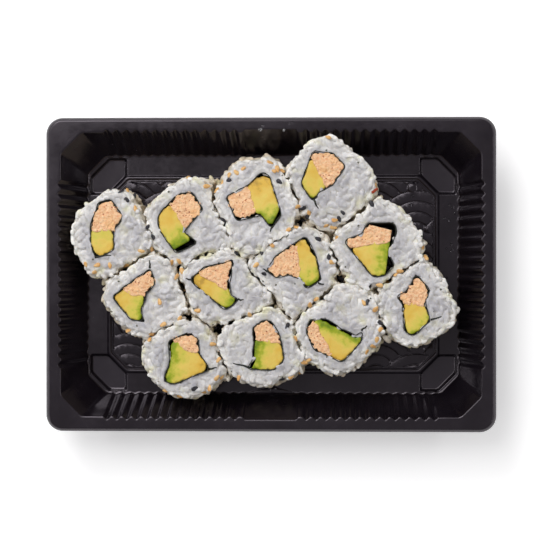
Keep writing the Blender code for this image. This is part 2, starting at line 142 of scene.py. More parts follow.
def rounded_rectangle(length, width, radius, steps=12):
    """A rectangle with its corners drawn as quarter circles."""
    points = []
    for turn, (sx, sy) in enumerate(((1, 1), (-1, 1), (-1, -1), (1, -1))):
        x, y = sx * (length / 2 - radius), sy * (width / 2 - radius)
        for step in range(steps + 1):
            angle = (turn + step / steps) * pi / 2
            points.append((x + radius * cos(angle), y + radius * sin(angle)))
    return points


def flute(middle, half):
    """Points across one flute: place along the wall, and push outwards."""
    edge = min(half, FLUTE_HALF)
    points = []
    for step in range(FLUTE_POINTS + 1):
        t = 2 * step / FLUTE_POINTS - 1
        along = middle + t * edge + (half - edge) * (1 if t > 0 else -1 if t < 0 else 0)
        push = FLUTE_DEPTH * cos(t * pi / 2) ** FLUTE_ROUND if abs(t) < 1 else 0.0
        if half > edge:
            push = min(FLUTE_DEPTH, PLAIN_FILL * push)
        points.append((along, push))
    return points


def long_wall():
    """The flutes of a long wall, with the plain recess in its middle."""
    places = [PLAIN_HALF + (k + LONG_FIRST) * LONG_PITCH for k in range(LONG_FLUTES)]
    profile = []
    for place in reversed(places):
        profile += flute(-place, FLUTE_HALF)
    profile += flute(0.0, PLAIN_HALF)
    for place in places:
        profile += flute(place, FLUTE_HALF)
    return profile


def short_wall():
    """The flutes of a short wall, end to end."""
    profile = []
    for k in range(SHORT_FLUTES):
        profile += flute((k - (SHORT_FLUTES - 1) / 2) * SHORT_PITCH, FLUTE_HALF)
    return profile


def wall_ring(share, way_out, height):
    """The fluted wall at one height; share is 0 at the foot line and 1 at the mouth."""
    length, width, chamfer = (a + share * (b - a) for a, b in zip(FOOT_LINE, MOUTH))
    fan = FLUTE_FAN + share * (1 - FLUTE_FAN)
    deep = FOOT_DEPTH + share * (1 - FOOT_DEPTH)
    corners = cut_rectangle(length, width, chamfer, way_out)
    x, y = corners[0][0], corners[2][1]
    short, long = short_wall(), long_wall()
    walls = {0: [(x + deep * push, along * fan) for along, push in short],
             2: [(-along * fan, y + deep * push) for along, push in long],
             4: [(-x - deep * push, -along * fan) for along, push in short],
             6: [(along * fan, -y - deep * push) for along, push in long]}
    rounded = soft_corners(corners, WALL_CURVE)
    per_corner = len(rounded) // len(corners)
    points = []
    for i in range(len(corners)):
        points += [tuple(p) for p in rounded[i * per_corner:(i + 1) * per_corner]]
        points += walls.get(i, [])
    return at_height(points, height)


def inside(point, outline):
    """Whether a point lies inside a closed outline."""
    x, y = point
    odd = False
    for (ax, ay), (bx, by) in zip(outline, outline[1:] + outline[:1]):
        if (ay > y) != (by > y) and x < ax + (y - ay) / (by - ay) * (bx - ax):
            odd = not odd
    return odd


def fill_region(bm, outline, holes, extra, height_at):
    """Triangles over the region inside an outline and outside its holes, through extra points."""
    loops = [outline] + list(holes)
    points, edges = [], []
    for loop in loops:
        first = len(points)
        points += [Vector(p[:2]) for p in loop]
        edges += [(first + i, first + (i + 1) % len(loop)) for i in range(len(loop))]
    points += [Vector(p) for p in extra]
    verts, _, faces, _, _, _ = geometry.delaunay_2d_cdt(points, edges, [], 0, 1e-5)
    flat = [(v.x, v.y) for v in verts]
    outer = [tuple(p[:2]) for p in outline]
    inner = [[tuple(p[:2]) for p in hole] for hole in holes]
    made = [bm.verts.new((x, y, height_at(x, y))) for x, y in flat]
    for face in faces:
        x = sum(flat[i][0] for i in face) / 3
        y = sum(flat[i][1] for i in face) / 3
        if inside((x, y), outer) and not any(inside((x, y), hole) for hole in inner):
            bm.faces.new([made[i] for i in face])
    for vert in [v for v in made if not v.link_faces]:
        bm.verts.remove(vert)


def wave_arcs(field):
    """The visible stretch of every wave: centre, radius and the angles between which it shows."""
    half_x, half_y = field
    arcs = []
    rows = ceil(2 * half_y / WAVE_RISE) + 3
    for row in range(-2, rows):
        shift = 0.0 if row % 2 == 0 else WAVE_ACROSS / 2
        for column in range(-1, 6):
            cx = WAVE_START[0] + shift + column * WAVE_ACROSS
            cy = WAVE_START[1] + row * WAVE_RISE
            for radius in WAVE_RADII:
                shown = []
                for k in range(ARC_STEPS + 1):
                    angle = pi * k / ARC_STEPS
                    px, py = cx + radius * cos(angle), cy + radius * sin(angle)
                    hidden = any(
                        hypot(px - cx - dx, py - cy + dy) < WAVE_RADII[-1] - 0.01
                        for dx, dy in ((-WAVE_ACROSS / 2, WAVE_RISE), (WAVE_ACROSS / 2, WAVE_RISE),
                                       (0.0, 2 * WAVE_RISE)))
                    if not hidden and abs(px) < half_x and abs(py) < half_y:
                        shown.append(angle)
                if len(shown) > ARC_LEAST:
                    arcs.append((cx, cy, radius, shown[0], shown[-1]))
    return arcs


def corners_of(mesh):
    """The corners of a mesh in millimetres."""
    flat = np.zeros(len(mesh.vertices) * 3, np.float32)
    mesh.vertices.foreach_get("co", flat)
    return flat.reshape(-1, 3) / MM


def keep_attribute(mesh, name, values):
    """Store one number for each corner of the mesh, for its material to read."""
    layer = mesh.attributes.new(name, "FLOAT", "POINT")
    layer.data.foreach_set("value", np.asarray(values, np.float32))


def finished(bm, name):
    """A smooth mesh in metres from a closed bmesh in millimetres."""
    bmesh.ops.recalc_face_normals(bm, faces=bm.faces)
    bmesh.ops.scale(bm, vec=(MM, MM, MM), verts=bm.verts)
    mesh = bpy.data.meshes.new(name)
    bm.to_mesh(mesh)
    bm.free()
    mesh.shade_smooth()
    return mesh


def build_tray():
    """The upper skin of the tray, its sunk feet marked for the painted sheen that lightens them."""
    bm = bmesh.new()
    rings = []
    for way_in, way_down in reversed(LIP):
        outline = rounded_rectangle(TRAY_LENGTH - 2 * way_in, TRAY_WIDTH - 2 * way_in,
                                    TRAY_CORNER - way_in)
        rings.append(add_ring(bm, at_height(outline, TRAY_HEIGHT - way_down)))
    skin(bm, rings)
    flange = [tuple(v.co) for v in rings[-1]]

    walls = [wall_ring(1.0, way_out, TRAY_HEIGHT - way_down) for way_out, way_down in MOUTH_FILLET]
    top = 1 - MOUTH_FILLET[-1][1] / (TRAY_HEIGHT - LEDGE_HEIGHT)
    low = FOOT_FILLET[0][1] / (TRAY_HEIGHT - LEDGE_HEIGHT)
    for step in range(WALL_STEPS):
        share = top + (low - top) * (step + 1) / (WALL_STEPS + 1)
        walls.append(wall_ring(share, 0.0, LEDGE_HEIGHT + share * (TRAY_HEIGHT - LEDGE_HEIGHT)))
    walls += [wall_ring(0.0, way_out, LEDGE_HEIGHT + way_up) for way_out, way_up in FOOT_FILLET]
    made = [add_ring(bm, ring) for ring in walls]
    skin(bm, made[::-1])
    fill_region(bm, flange, [walls[0]], [], lambda x, y: TRAY_HEIGHT)

    pads = []
    for sx, sy in ((1, 1), (-1, 1), (-1, -1), (1, -1)):
        pad_rings = []
        for way_in, way_down in PAD_STEPS:
            x_out, y_out = PAD_OUTER[0] - way_in, PAD_OUTER[1] - way_in
            x_in, y_in = PAD_INNER[0] + way_in, PAD_INNER[1] + way_in
            cut = PAD_CHAMFER - CUT_GROWTH * way_in
            corners = [(x_out, y_in), (x_out, y_out - cut), (x_out - cut, y_out),
                       (x_in, y_out), (x_in, y_in + cut), (x_in + cut, y_in)]
            corners = [(sx * x, sy * y) for x, y in corners]
            if sx * sy < 0:
                corners.reverse()
            outline = soft_corners(corners, PAD_CURVE)
            pad_rings.append(at_height(outline, LEDGE_HEIGHT - way_down))
        pads.append(pad_rings[0])
        loops = [add_ring(bm, ring) for ring in pad_rings]
        skin(bm, loops[::-1])
        bm.faces.new(loops[-1])

    panel_rings = []
    for way_in, rise in PANEL_STEPS:
        outline = soft_corners(cut_rectangle(*PANEL, -way_in), PANEL_CURVE)
        panel_rings.append(at_height(outline, LEDGE_HEIGHT + rise))
    skin(bm, [add_ring(bm, ring) for ring in panel_rings])

    notch = [(NOTCH_RADIUS * share * cos(a * pi / 8), NOTCH_RADIUS * share * sin(a * pi / 8) + NOTCH_Y)
             for share in (0.25, 0.6, 0.85, 1.0) for a in range(1, 8)]

    def ledge(x, y):
        away = hypot(x, y - NOTCH_Y) / NOTCH_RADIUS
        return LEDGE_HEIGHT + NOTCH_HEIGHT * max(0.0, 1 - away ** 2) ** 0.7
    fill_region(bm, walls[-1], [panel_rings[0]] + pads, notch, ledge)

    field = [tuple(p[:2]) for p in panel_rings[-1]]
    arcs = wave_arcs((PANEL[0] / 2, PANEL[1] / 2))
    bed = LEDGE_HEIGHT + PANEL_STEPS[-1][1]
    extra = []
    for cx, cy, radius, start, end in arcs:
        count = max(3, ceil(radius * (end - start) / WAVE_STEP))
        for k in range(count + 1):
            angle = start + (end - start) * k / count
            for across in (-1.0, -0.5, 0.0, 0.5, 1.0):
                reach = radius + across * WAVE_HALF
                extra.append((cx + reach * cos(angle), cy + reach * sin(angle)))
    for sx in (-1, 1):
        for share in (0.0, 0.35, 0.7, 0.9, 1.0):
            for k in range(20):
                extra.append((sx * STUD_PLACE[0] + share * STUD_RADIUS * cos(k * pi / 10),
                              STUD_PLACE[1] + share * STUD_RADIUS * sin(k * pi / 10)))
    inset = cut_rectangle(*PANEL, -PANEL_STEPS[-1][0] - BORDER_CLEAR)
    margin = [tuple(p[:2]) for p in at_height(soft_corners(inset, PANEL_CURVE), 0.0)]
    extra = [p for p in extra if inside(p, margin)]
    table = np.array(arcs)

    def bed_height(x, y):
        dx, dy = x - table[:, 0], y - table[:, 1]
        angle = np.arctan2(dy, dx)
        held = np.clip(angle, table[:, 3], table[:, 4])
        away = np.hypot(dx - table[:, 2] * np.cos(held), dy - table[:, 2] * np.sin(held)).min()
        height = bed - WAVE_DEPTH * max(0.0, 1 - (away / WAVE_HALF) ** 2)
        stud = hypot(abs(x) - STUD_PLACE[0], y - STUD_PLACE[1]) / STUD_RADIUS
        return max(height, bed + STUD_HEIGHT * sqrt(1 - stud ** 2)) if stud < 1 else height
    fill_region(bm, field, [], extra, bed_height)

    bmesh.ops.remove_doubles(bm, verts=bm.verts, dist=WELD)
    mesh = finished(bm, "tray_pressed")
    if sum(face.normal.z * face.area for face in mesh.polygons) < 0:
        mesh.flip_normals()
    # Mark the sunk feet, which the plastic paints lighter as a painted sheen.
    keep_attribute(mesh, "matt", corners_of(mesh)[:, 2] < LEDGE_HEIGHT - PAD_STEPS[-1][1] + 0.05)
    return mesh


def put(tree, kind, inputs=None, **settings):
    """Add a shader node, with its options, and its inputs set or linked."""
    node = tree.nodes.new(kind)
    for key, value in settings.items():
        setattr(node, key, value)
    for key, value in (inputs or {}).items():
        if isinstance(value, bpy.types.NodeSocket):
            tree.links.new(value, node.inputs[key])
        else:
            node.inputs[key].default_value = value
    return node


def spread(tree, value, low, high, new_low=0.0, new_high=1.0):
    """Map a value's range onto another one, clamped."""
    return put(tree, "ShaderNodeMapRange", {
        "Value": value, "From Min": low, "From Max": high,
        "To Min": new_low, "To Max": new_high}).outputs["Result"]


def blend_colours(tree, factor, first, second):
    """From the first colour to the second, each plain or made by a node."""
    node = put(tree, "ShaderNodeMix", data_type="RGBA")
    for socket, value in ((node.inputs[0], factor), (node.inputs[6], first),
                          (node.inputs[7], second)):
        if isinstance(value, bpy.types.NodeSocket):
            tree.links.new(value, socket)
        else:
            socket.default_value = value if socket.type == "VALUE" else (*value, 1.0)
    return node.outputs[2]


def painted(tree, name):
    """A number that the mesh carries on its corners."""
    return put(tree, "ShaderNodeAttribute", attribute_name=name).outputs["Fac"]


def mottle(tree, place, scale, detail=2.0, **more):
    """Soft noise over the surface, about 0.5."""
    inputs = {"Vector": place, "Scale": scale, "Detail": detail, **more}
    return put(tree, "ShaderNodeTexNoise", inputs).outputs["Fac"]


def combined(tree, operation, first, second):
    """Two numbers brought together by one sum or comparison."""
    return put(tree, "ShaderNodeMath", {0: first, 1: second}, operation=operation).outputs[0]


def emboss(tree, shader, relief, strength, depth):
    """A fine relief for a shader, its depth in millimetres."""
    bump = put(tree, "ShaderNodeBump",
               {"Height": relief, "Strength": strength, "Distance": depth * MM})
    tree.links.new(bump.outputs["Normal"], shader.inputs["Normal"])


def finish_shader(tree, shader, colour, rough, *relief):
    """Lead a colour, a roughness and a fine relief into a shader."""
    tree.links.new(colour, shader.inputs["Base Color"])
    tree.links.new(rough, shader.inputs["Roughness"])
    emboss(tree, shader, *relief)


def new_material(name, **shader_values):
    """A material, its tree and shader, with plain values set, and the place on the piece."""
    material = bpy.data.materials.new(name)
    material.use_nodes = True
    shader = material.node_tree.nodes["Principled BSDF"]
    for key, value in shader_values.items():
        shader.inputs[key.replace("_", " ")].default_value = value
    tree = material.node_tree
    return material, tree, shader, put(tree, "ShaderNodeTexCoord").outputs["Object"]


def make_plastic():
    """Black sheet with a greasy, uneven gloss, and a painted sheen that lightens the sunk feet."""
    material, tree, shader, place = new_material(
        "black_pressed_plastic", IOR=1.56, Specular_Tint=(1.0, 0.9, 1.0, 1.0))
    smudge = mottle(tree, place, 55.0, 5.0, Roughness=0.6)
    haze = mottle(tree, place, 420.0, 3.0)
    colour = blend_colours(tree, spread(tree, smudge, 0.35, 0.7),
                           (0.0048, 0.0034, 0.0052), (0.0088, 0.0066, 0.0096))
    # Painted sheen: the sunk feet get a lighter base colour in place of the light they catch
    colour = blend_colours(tree, painted(tree, "matt"), colour, (0.021, 0.0175, 0.0225))
    rough = combined(tree, "ADD", spread(tree, smudge, 0.3, 0.72, 0.13, 0.25),
                     spread(tree, haze, 0.3, 0.7, -0.03, 0.05))
    finish_shader(tree, shader, colour, rough, mottle(tree, place, 900.0), 0.05, 0.3)
    return material


def add_piece(mesh, material, slot, *nodes):
    """Put a piece in the scene on the part's one body, in place of its CAD nodes."""
    piece = bpy.data.objects.new(mesh.name, mesh)
    bpy.context.scene.collection.objects.link(piece)
    mesh.materials.append(material)
    if nodes:
        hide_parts(*nodes)
    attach(piece, "root")
    return piece


tray = add_piece(build_tray(), make_plastic(), "tray_plastic", "tray")
sheet = tray.modifiers.new("Sheet", "SOLIDIFY")
sheet.thickness = SHEET * MM
sheet.offset = -1.0
sheet.use_even_offset = False
tray.modifiers.new("Even shading", "WEIGHTED_NORMAL").keep_sharp = True


# ------------------------------------------------------------------ the rice
# Short-grained rice, cooked soft and sticky, rolled up outside the seaweed and cut with a wet
# knife: the cut face is pressed almost flat, and whole grains stand out along its edge and sides.
ROLLS = [f"{number:02d}" for number in range(1, 13)]
GAP = 0.3                               # clearance between the solids of one roll
GRAIN_LENGTH, GRAIN_RADIUS = (5.2, 0.6), (1.3, 0.12)      # mean and spread
GRAIN_BEND, GRAIN_TURNS, GRAIN_STEPS = 0.35, 7, 6
GRAIN_FLAT, GRAIN_PLUMP = 0.92, 0.62    # its thickness against its width, and how blunt its ends
RIM_SWAY, TILT_SWAY, EDGE_SWAY, EDGE_STRAY = 0.35, 0.2, 0.25, 0.35      # how freely grains lie
EDGE_CLEAR = 0.05                       # from the pocket's edge to the grains along it
SCATTER_TRIES, NOISE_STEP = 2.6, 7.3     # tries for each place, and from one noise to the next
SECOND_LAYER = (1.0, 0.4)               # shares of a wide swelling at which grains lie
FACE_SPACING, SIDE_SPACING, EDGE_SPACING = 2.7, 3.0, 3.4
FACE_SINK, SIDE_SINK, EDGE_SINK = (0.6, 1.05), (0.65, 1.15), (0.8, 1.0)   # in grain radii
POCKET_CLEAR, RIM_REACH = 1.9, 2.6      # face grains keep off the pocket and follow the rim
FLAT, LEVEL = 0.6, 0.7                  # a face whose normal rises by more looks up, or lies level
CORE_INSET, CORE_CUTS, CORE_DROP = 0.95, 2, 0.35
POCKET_BACK, POCKET_NEAR = 0.05, 0.5    # how far the pocket's wall draws back, and from where
RICE_VOXEL, RICE_TRIANGLES = 0.42, 58000
EASE_SHARE, EASE_SIDE, EASE_ROUNDS = 0.5, 0.1, 4
SEAM_WIDTH, SEAM_DEPTH, SEAM_LOOK = 0.75, 0.26, 10        # the crease between two grains, which is also painted darker as painted shade
SHADE_TURN = 0.618                      # spreads the grains' shades evenly
CLUMP_SIZE, CLUMP_PUSH = 6.5, 1.5       # how wide and how far the outside swells and sinks
SWELL_SIZE, SWELL_RISE = 8.5, 1.3       # the same of the cut face
FUZZ_SIZE, FUZZ_RISE = 1.5, 0.22        # and of the crushed grain on it
RIM_STEPS, RIM_WIDTH = 90, 6.5          # the whiter rim of the cut face
CREASE_BEND, CREASE_BLUR = 0.22, 2
SIDE_FROM, SIDE_FADE = 0.4, 2.2         # below the cut, where a side starts to be a side
TOP_LEVEL, DEEP_FROM, DEEP_SIDE = 25.0, 1.5, 7.0          # where a side starts to be deep, which also sets the painted shade down it
CUT_BELOW, CUT_SOFT = 0.5, 0.12         # where the knife passes, and how soft a shoulder it leaves
SQUEEZE_REACH, SQUEEZE_MOST, SQUEEZE_DEEP = 8.0, 1.9, 1.1     # a roll swells towards its neighbour
# Places where the outside of a roll stands out (or draws in) by more than a grain: x, y, how far
BULGES = {"01": ((-84.0, -1.5, 1.6), (-61.5, 34.5, -1.5), (-72.0, 6.0, -0.6)),
          "02": ((-33.0, 46.0, -0.7), (-59.5, 31.0, -0.8), (-28.5, 41.0, -1.0), (-43.0, 5.5, 2.4),
                 (-20.0, 13.5, 1.0)),
          "03": ((0.0, 56.5, 1.9), (-20.0, 52.0, -0.6), (-26.5, 43.0, -0.6), (7.0, 50.0, -1.0),
                 (-11.0, 9.5, 1.6)),
          "04": ((12.0, 59.5, -1.0), (49.5, 50.5, -1.1), (42.0, 32.0, -0.8)),
          "05": ((-71.0, 3.5, -1.0), (-44.0, -6.0, -1.0)),
          "06": ((-24.0, -22.0, -1.6), (-8.0, -3.0, -0.8), (-41.5, -7.0, -0.8),
                 (-40.0, 1.0, 1.2)),
          "07": ((27.0, -9.5, -1.2), (-5.0, -3.0, -0.8)),
          "08": ((72.0, 20.5, -1.1), (41.0, 29.5, -1.0), (31.5, 9.0, -0.8),
                 (40.0, -3.0, 1.4), (48.0, -5.0, 1.0)),
          "09": ((-62.0, -36.0, 1.4), (-35.0, -56.5, -0.4)), "10": ((9.0, -50.5, -0.6),),
          "11": ((48.0, -40.0, -1.2), (53.0, -27.0, -1.2), (25.0, -12.0, -0.8), (36.0, -5.0, 2.2),
                 (47.0, -9.5, 1.0)),
          "12": ((74.5, 9.5, 1.6), (86.5, -10.0, -0.4), (56.0, -26.0, -1.0))}
BULGE_REACH = 6.5


def solid(name):
    """A CAD solid as a welded bmesh in millimetres."""
    bm = bmesh.new()
    bm.from_mesh(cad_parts[name].data)
    bmesh.ops.remove_doubles(bm, verts=bm.verts, dist=1e-6)
    bmesh.ops.scale(bm, vec=(1 / MM, 1 / MM, 1 / MM), verts=bm.verts)
    bm.normal_update()
    return bm


def tree_of(bm):
    """A search tree over a bmesh, which it uses up."""
    tree = BVHTree.FromBMesh(bm)
    bm.free()
    return tree


def top_loops(bm):
    """The closed outlines of a solid's upper face, the longest way round first."""
    ways = {}
    for edge in bm.edges:
        up = [face.normal.z > LEVEL for face in edge.link_faces]
        if len(up) == 2 and up[0] != up[1]:
            first, second = edge.verts
            ways.setdefault(first, []).append(second)
            ways.setdefault(second, []).append(first)
    loops = []
    while ways:
        start = next(iter(ways))
        loop, here = [start], ways.pop(start)[0]
        while here is not start:
            loop.append(here)
            ahead = [v for v in ways.pop(here) if v in ways]
            here = ahead[0] if ahead else start
        loops.append([Vector((v.co.x, v.co.y)) for v in loop])

    def turned(loop):
        return sum(a.x * b.y - b.x * a.y for a, b in zip(loop, loop[1:] + loop[:1])) / 2

    loops = [loop if turned(loop) > 0 else loop[::-1] for loop in loops]
    return sorted(loops, key=turned, reverse=True)


def cut_plane(bm):
    """Height of the roll's cut face, from the flat top of its seaweed: level, slope x, slope y."""
    middle = (max(v.co.z for v in bm.verts) + min(v.co.z for v in bm.verts)) / 2
    top = np.array([v.co for v in bm.verts if v.co.z > middle])
    table = np.column_stack([np.ones(len(top)), top[:, 0], top[:, 1]])
    level = np.linalg.lstsq(table, top[:, 2] + GAP, rcond=None)[0]
    foot = np.array([v.co for v in bm.verts if v.co.z < middle])
    squeeze = float(np.std(foot[:, :2], axis=0).sum() / np.std(top[:, :2], axis=0).sum())
    shift = foot[:, :2].mean(0) - squeeze * top[:, :2].mean(0)
    return level, squeeze, Vector(shift), float(foot[:, 2].min())


class Cut:
    """What the parts of one roll share: its cut face, and how a cut point runs down to the foot."""

    def __init__(self, number):
        self.number = number
        bm = solid("nori_" + number)
        self.level, self.squeeze, self.shift, self.foot = cut_plane(bm)
        self.pocket = top_loops(bm)[0]
        self.nori = tree_of(bm)
        self.middle = sum(self.pocket, Vector((0, 0))) / len(self.pocket)

    def height(self, x, y):
        """The level of the cut face at a place."""
        return self.level[0] + self.level[1] * x + self.level[2] * y

    def down(self, x, y, share, drop=0.0):
        """The point under a cut point; share is 0 at the cut face and 1 at the foot."""
        scale = 1 + share * (self.squeeze - 1)
        top = self.height(x, y) - drop
        return (x * scale + self.shift.x * share, y * scale + self.shift.y * share,
                top + share * (self.foot - top))


def nearest(point, loop):
    """The nearest place on a closed outline, and how far off it is."""
    best, spot = 1e9, None
    for a, b in zip(loop, loop[1:] + loop[:1]):
        edge = b - a
        t = max(0.0, min(1.0, (point - a).dot(edge) / max(edge.length_squared, 1e-12)))
        away = (point - a - t * edge).length
        if away < best:
            best, spot = away, a + t * edge
    return spot, best


def resampled(loop, step, round_off=0.0):
    """Even points along a closed outline, its corners rounded off by about a given length."""
    points = []
    for a, b in zip(loop, loop[1:] + loop[:1]):
        count = max(1, round((b - a).length / step))
        points += [a.lerp(b, k / count) for k in range(count)]
    for _ in range(round(2 * (round_off / step) ** 2)):
        points = [(points[i - 1] + 2 * points[i] + points[(i + 1) % len(points)]) / 4
                  for i in range(len(points))]
    return points


def outward(loop):
    """Unit directions out of an anticlockwise outline, point by point."""
    ways = []
    for i, _ in enumerate(loop):
        along = (loop[(i + 1) % len(loop)] - loop[i - 1]).normalized()
        ways.append(Vector((along.y, -along.x)))
    return ways


def pod(turns, steps, width, thick):
    """A closed pod along x, of unit half length: its corners and its triangles."""
    verts = [(-1.0, 0.0, 0.0)]
    for angle in (pi * step / steps for step in range(1, steps)):
        for around in (2 * pi * turn / turns for turn in range(turns)):
            verts.append((-cos(angle), width(angle) * cos(around), thick(angle) * sin(around)))
    verts.append((1.0, 0.0, 0.0))
    last = len(verts) - 1
    faces = []
    for turn in range(turns):
        following = (turn + 1) % turns
        faces.append((0, 1 + following, 1 + turn))
        faces.append((last, last - turns + turn, last - turns + following))
        for step in range(steps - 2):
            a, b = 1 + step * turns + turn, 1 + step * turns + following
            faces += [(a, b, b + turns), (a, b + turns, a + turns)]
    return np.array(verts), np.array(faces)


def plump(angle):
    """How thick a grain of rice is along its length."""
    return sin(angle) ** GRAIN_PLUMP


def joined_mesh(name, pieces):
    """One mesh from (corners, triangles) pairs, in millimetres."""
    verts = np.concatenate([corners for corners, _ in pieces]) * MM
    faces, first = [], 0
    for corners, triangles in pieces:
        faces.append(triangles + first)
        first += len(corners)
    faces = np.concatenate(faces)
    mesh = bpy.data.meshes.new(name)
    mesh.vertices.add(len(verts))
    mesh.vertices.foreach_set("co", verts.astype(np.float32).ravel())
    mesh.loops.add(len(faces) * 3)
    mesh.loops.foreach_set("vertex_index", faces.astype(np.int32).ravel())
    mesh.polygons.add(len(faces))
    mesh.polygons.foreach_set("loop_start", np.arange(0, len(faces) * 3, 3, dtype=np.int32))
    mesh.update(calc_edges=True)
    mesh.validate()
    return mesh


def scatter(bm, wanted, spacing, dice):
    """Evenly scattered points on a bmesh's faces that pass a test, each with its normal."""
    faces = [face for face in bm.faces if wanted(face)]
    weights = [face.calc_area() for face in faces]
    total = sum(weights)
    places, normals = np.zeros((0, 3)), []
    for face in dice.choices(faces, weights, k=int(SCATTER_TRIES * total / spacing ** 2)):
        corners = [v.co for v in face.verts]
        u, v = dice.random(), dice.random()
        if u + v > 1:
            u, v = 1 - u, 1 - v
        k = dice.randrange(1, len(corners) - 1)
        point = corners[0] + u * (corners[k] - corners[0]) + v * (corners[k + 1] - corners[0])
        if len(places) and ((places - np.array(point)) ** 2).sum(1).min() < spacing ** 2:
            continue
        places = np.vstack([places, np.array(point)])
        normals.append(face.normal.copy())
    return [Vector(p) for p in places], normals


def placed_grain(shape, place, along, normal, half, radius, bend):
    """A grain's corners, lying along one way with its back to another."""
    along = (along - along.dot(normal) * normal).normalized()
    across = normal.cross(along)
    turn = np.array([along, across, normal]).T
    corners = shape * np.array([half, radius, radius * GRAIN_FLAT])
    corners[:, 1] += bend * (corners[:, 0] / half) ** 2
    return corners @ turn.T + np.array(place)


def wobble(x, y, size, seed):
    """Smooth noise about 1 either way, with bumps of a given size in millimetres."""
    return noise.noise(Vector((x / size, y / size, seed * NOISE_STEP)))


def normals_of(mesh):
    """The way that each corner of a mesh faces."""
    flat = np.zeros(len(mesh.vertices) * 3, np.float32)
    mesh.vertices.foreach_get("normal", flat)
    return flat.reshape(-1, 3)


def move_corners(mesh, points):
    """Put a mesh's corners at new places, in millimetres."""
    mesh.vertices.foreach_set("co", (points * MM).astype(np.float32).ravel())
    mesh.update()


def edges_of(mesh):
    """Both ends of every edge of a mesh, and how many edges meet at each corner."""
    ends = np.zeros(len(mesh.edges) * 2, np.int32)
    mesh.edges.foreach_get("vertices", ends)
    near = np.maximum(np.bincount(ends, minlength=len(mesh.vertices)), 1)
    return ends[0::2], ends[1::2], near


def gathered(first, second, from_second, from_first, count):
    """For each corner, the sum of what its edges bring from their other ends."""
    return np.bincount(first, from_second, count) + np.bincount(second, from_first, count)


def ease(mesh, softness):
    """Draw every corner towards its neighbours' middle, by a share of its own."""
    first, second, near = edges_of(mesh)
    flat = np.zeros(len(near) * 3, np.float32)
    mesh.vertices.foreach_get("co", flat)
    spots = flat.reshape(-1, 3).astype(float)
    for share in softness:
        total = np.empty_like(spots)
        for axis in range(3):
            line = spots[:, axis]
            total[:, axis] = gathered(first, second, line[second], line[first], len(near))
        spots += share[:, None] * (total / near[:, None] - spots)
    mesh.vertices.foreach_set("co", spots.astype(np.float32).ravel())
    mesh.update()


def below_cut(cut, points):
    """How far points lie under a roll's cut face."""
    return cut.level[0] + cut.level[1] * points[:, 0] + cut.level[2] * points[:, 1] - points[:, 2]


def side_share(cut, points):
    """0 on the pressed cut face, 1 down the lumpy side."""
    return np.clip((below_cut(cut, points) - SIDE_FROM) / SIDE_FADE, 0, 1)


def deep_shade_share(cut, points):
    """0 near the cut face, 1 well down the side, where the painted shade is fullest."""
    return np.clip((below_cut(cut, points) - DEEP_FROM) / DEEP_SIDE, 0, 1)


def rim_share(cut, points):
    """0 in the middle of the cut face, 1 where the outline ends."""
    away = points[:, :2] - np.array(cut.middle)
    reach = np.hypot(away[:, 0], away[:, 1])
    turn = ((np.arctan2(away[:, 1], away[:, 0]) / pi + 1) * RIM_STEPS / 2).astype(int) % RIM_STEPS
    furthest = np.zeros(RIM_STEPS)
    np.maximum.at(furthest, turn, reach)
    return np.clip(1 - (furthest[turn] - reach) / RIM_WIDTH, 0, 1)


def hollows(mesh):
    """0 on a flat or bulging place, 1 deep in a crease between grains, where the painted shade goes.
    """
    first, second, near = edges_of(mesh)
    points = corners_of(mesh).astype(float)
    normals = normals_of(mesh)
    run = points[second] - points[first]
    span = np.linalg.norm(run, axis=1)
    rise = (run * normals[first]).sum(1) / span
    fall = (-run * normals[second]).sum(1) / span
    depth = gathered(first, second, rise, fall, len(near)) / near
    for _ in range(CREASE_BLUR):
        around = gathered(first, second, depth[second], depth[first], len(near)) / near
        depth = (depth + around) / 2
    return np.clip(depth / CREASE_BEND, 0, 1)


def as_made(mesh, *modifiers):
    """The mesh that comes out of a stack of modifiers, each given as its name, type and values."""
    work = bpy.data.objects.new("work", mesh)
    bpy.context.scene.collection.objects.link(work)
    for kind, values in modifiers:
        modifier = work.modifiers.new(kind.title(), kind)
        for key, value in values.items():
            setattr(modifier, key, value)
    graph = bpy.context.evaluated_depsgraph_get()
    made = bpy.data.meshes.new_from_object(work.evaluated_get(graph))
    bpy.data.objects.remove(work, do_unlink=True)
    bpy.data.meshes.remove(mesh)
    return made


def mark_grains(mesh, spines):
    """Crease the mesh between its grains, mark the creases for painted shade, and give each corner its
    grain's tone.
    """
    tree = KDTree(sum(len(spine) for spine in spines))
    for number, spine in enumerate(spines):
        for spot in spine:
            tree.insert(spot, number)
    tree.balance()
    points = corners_of(mesh)
    shade, seam = np.zeros(len(points)), np.zeros(len(points))
    for i, point in enumerate(points):
        found = tree.find_n(point, SEAM_LOOK)
        own, away = found[0][1:]
        other = next((reach for _, number, reach in found if number != own), away + SEAM_WIDTH)
        shade[i] = own * SHADE_TURN % 1
        seam[i] = max(0.0, 1 - (other - away) / SEAM_WIDTH)
    move_corners(mesh, points - SEAM_DEPTH * (seam ** 2)[:, None] * normals_of(mesh))
    keep_attribute(mesh, "grain", shade)
    keep_attribute(mesh, "seam", seam)


def swelling(place, normal, number):
    """How far a roll's side swells towards a neighbour that stands close to it."""
    out = Vector((normal.x, normal.y, 0.0)).normalized()
    reaches = [bodies[other].ray_cast(place, out, SQUEEZE_REACH)[3]
               for other in ROLLS if other != number]
    gap = min((reach for reach in reaches if reach is not None), default=None)
    most = SQUEEZE_MOST * (1 + SQUEEZE_DEEP * min(1.0, max(0.0, TOP_LEVEL - place.z) / DEEP_SIDE))
    push = 0.0 if gap is None else min(most, gap / 2)
    for x, y, rise in BULGES.get(number, ()):
        push += rise * max(0.0, 1 - ((place.x - x) ** 2 + (place.y - y) ** 2) / BULGE_REACH ** 2)
    return push


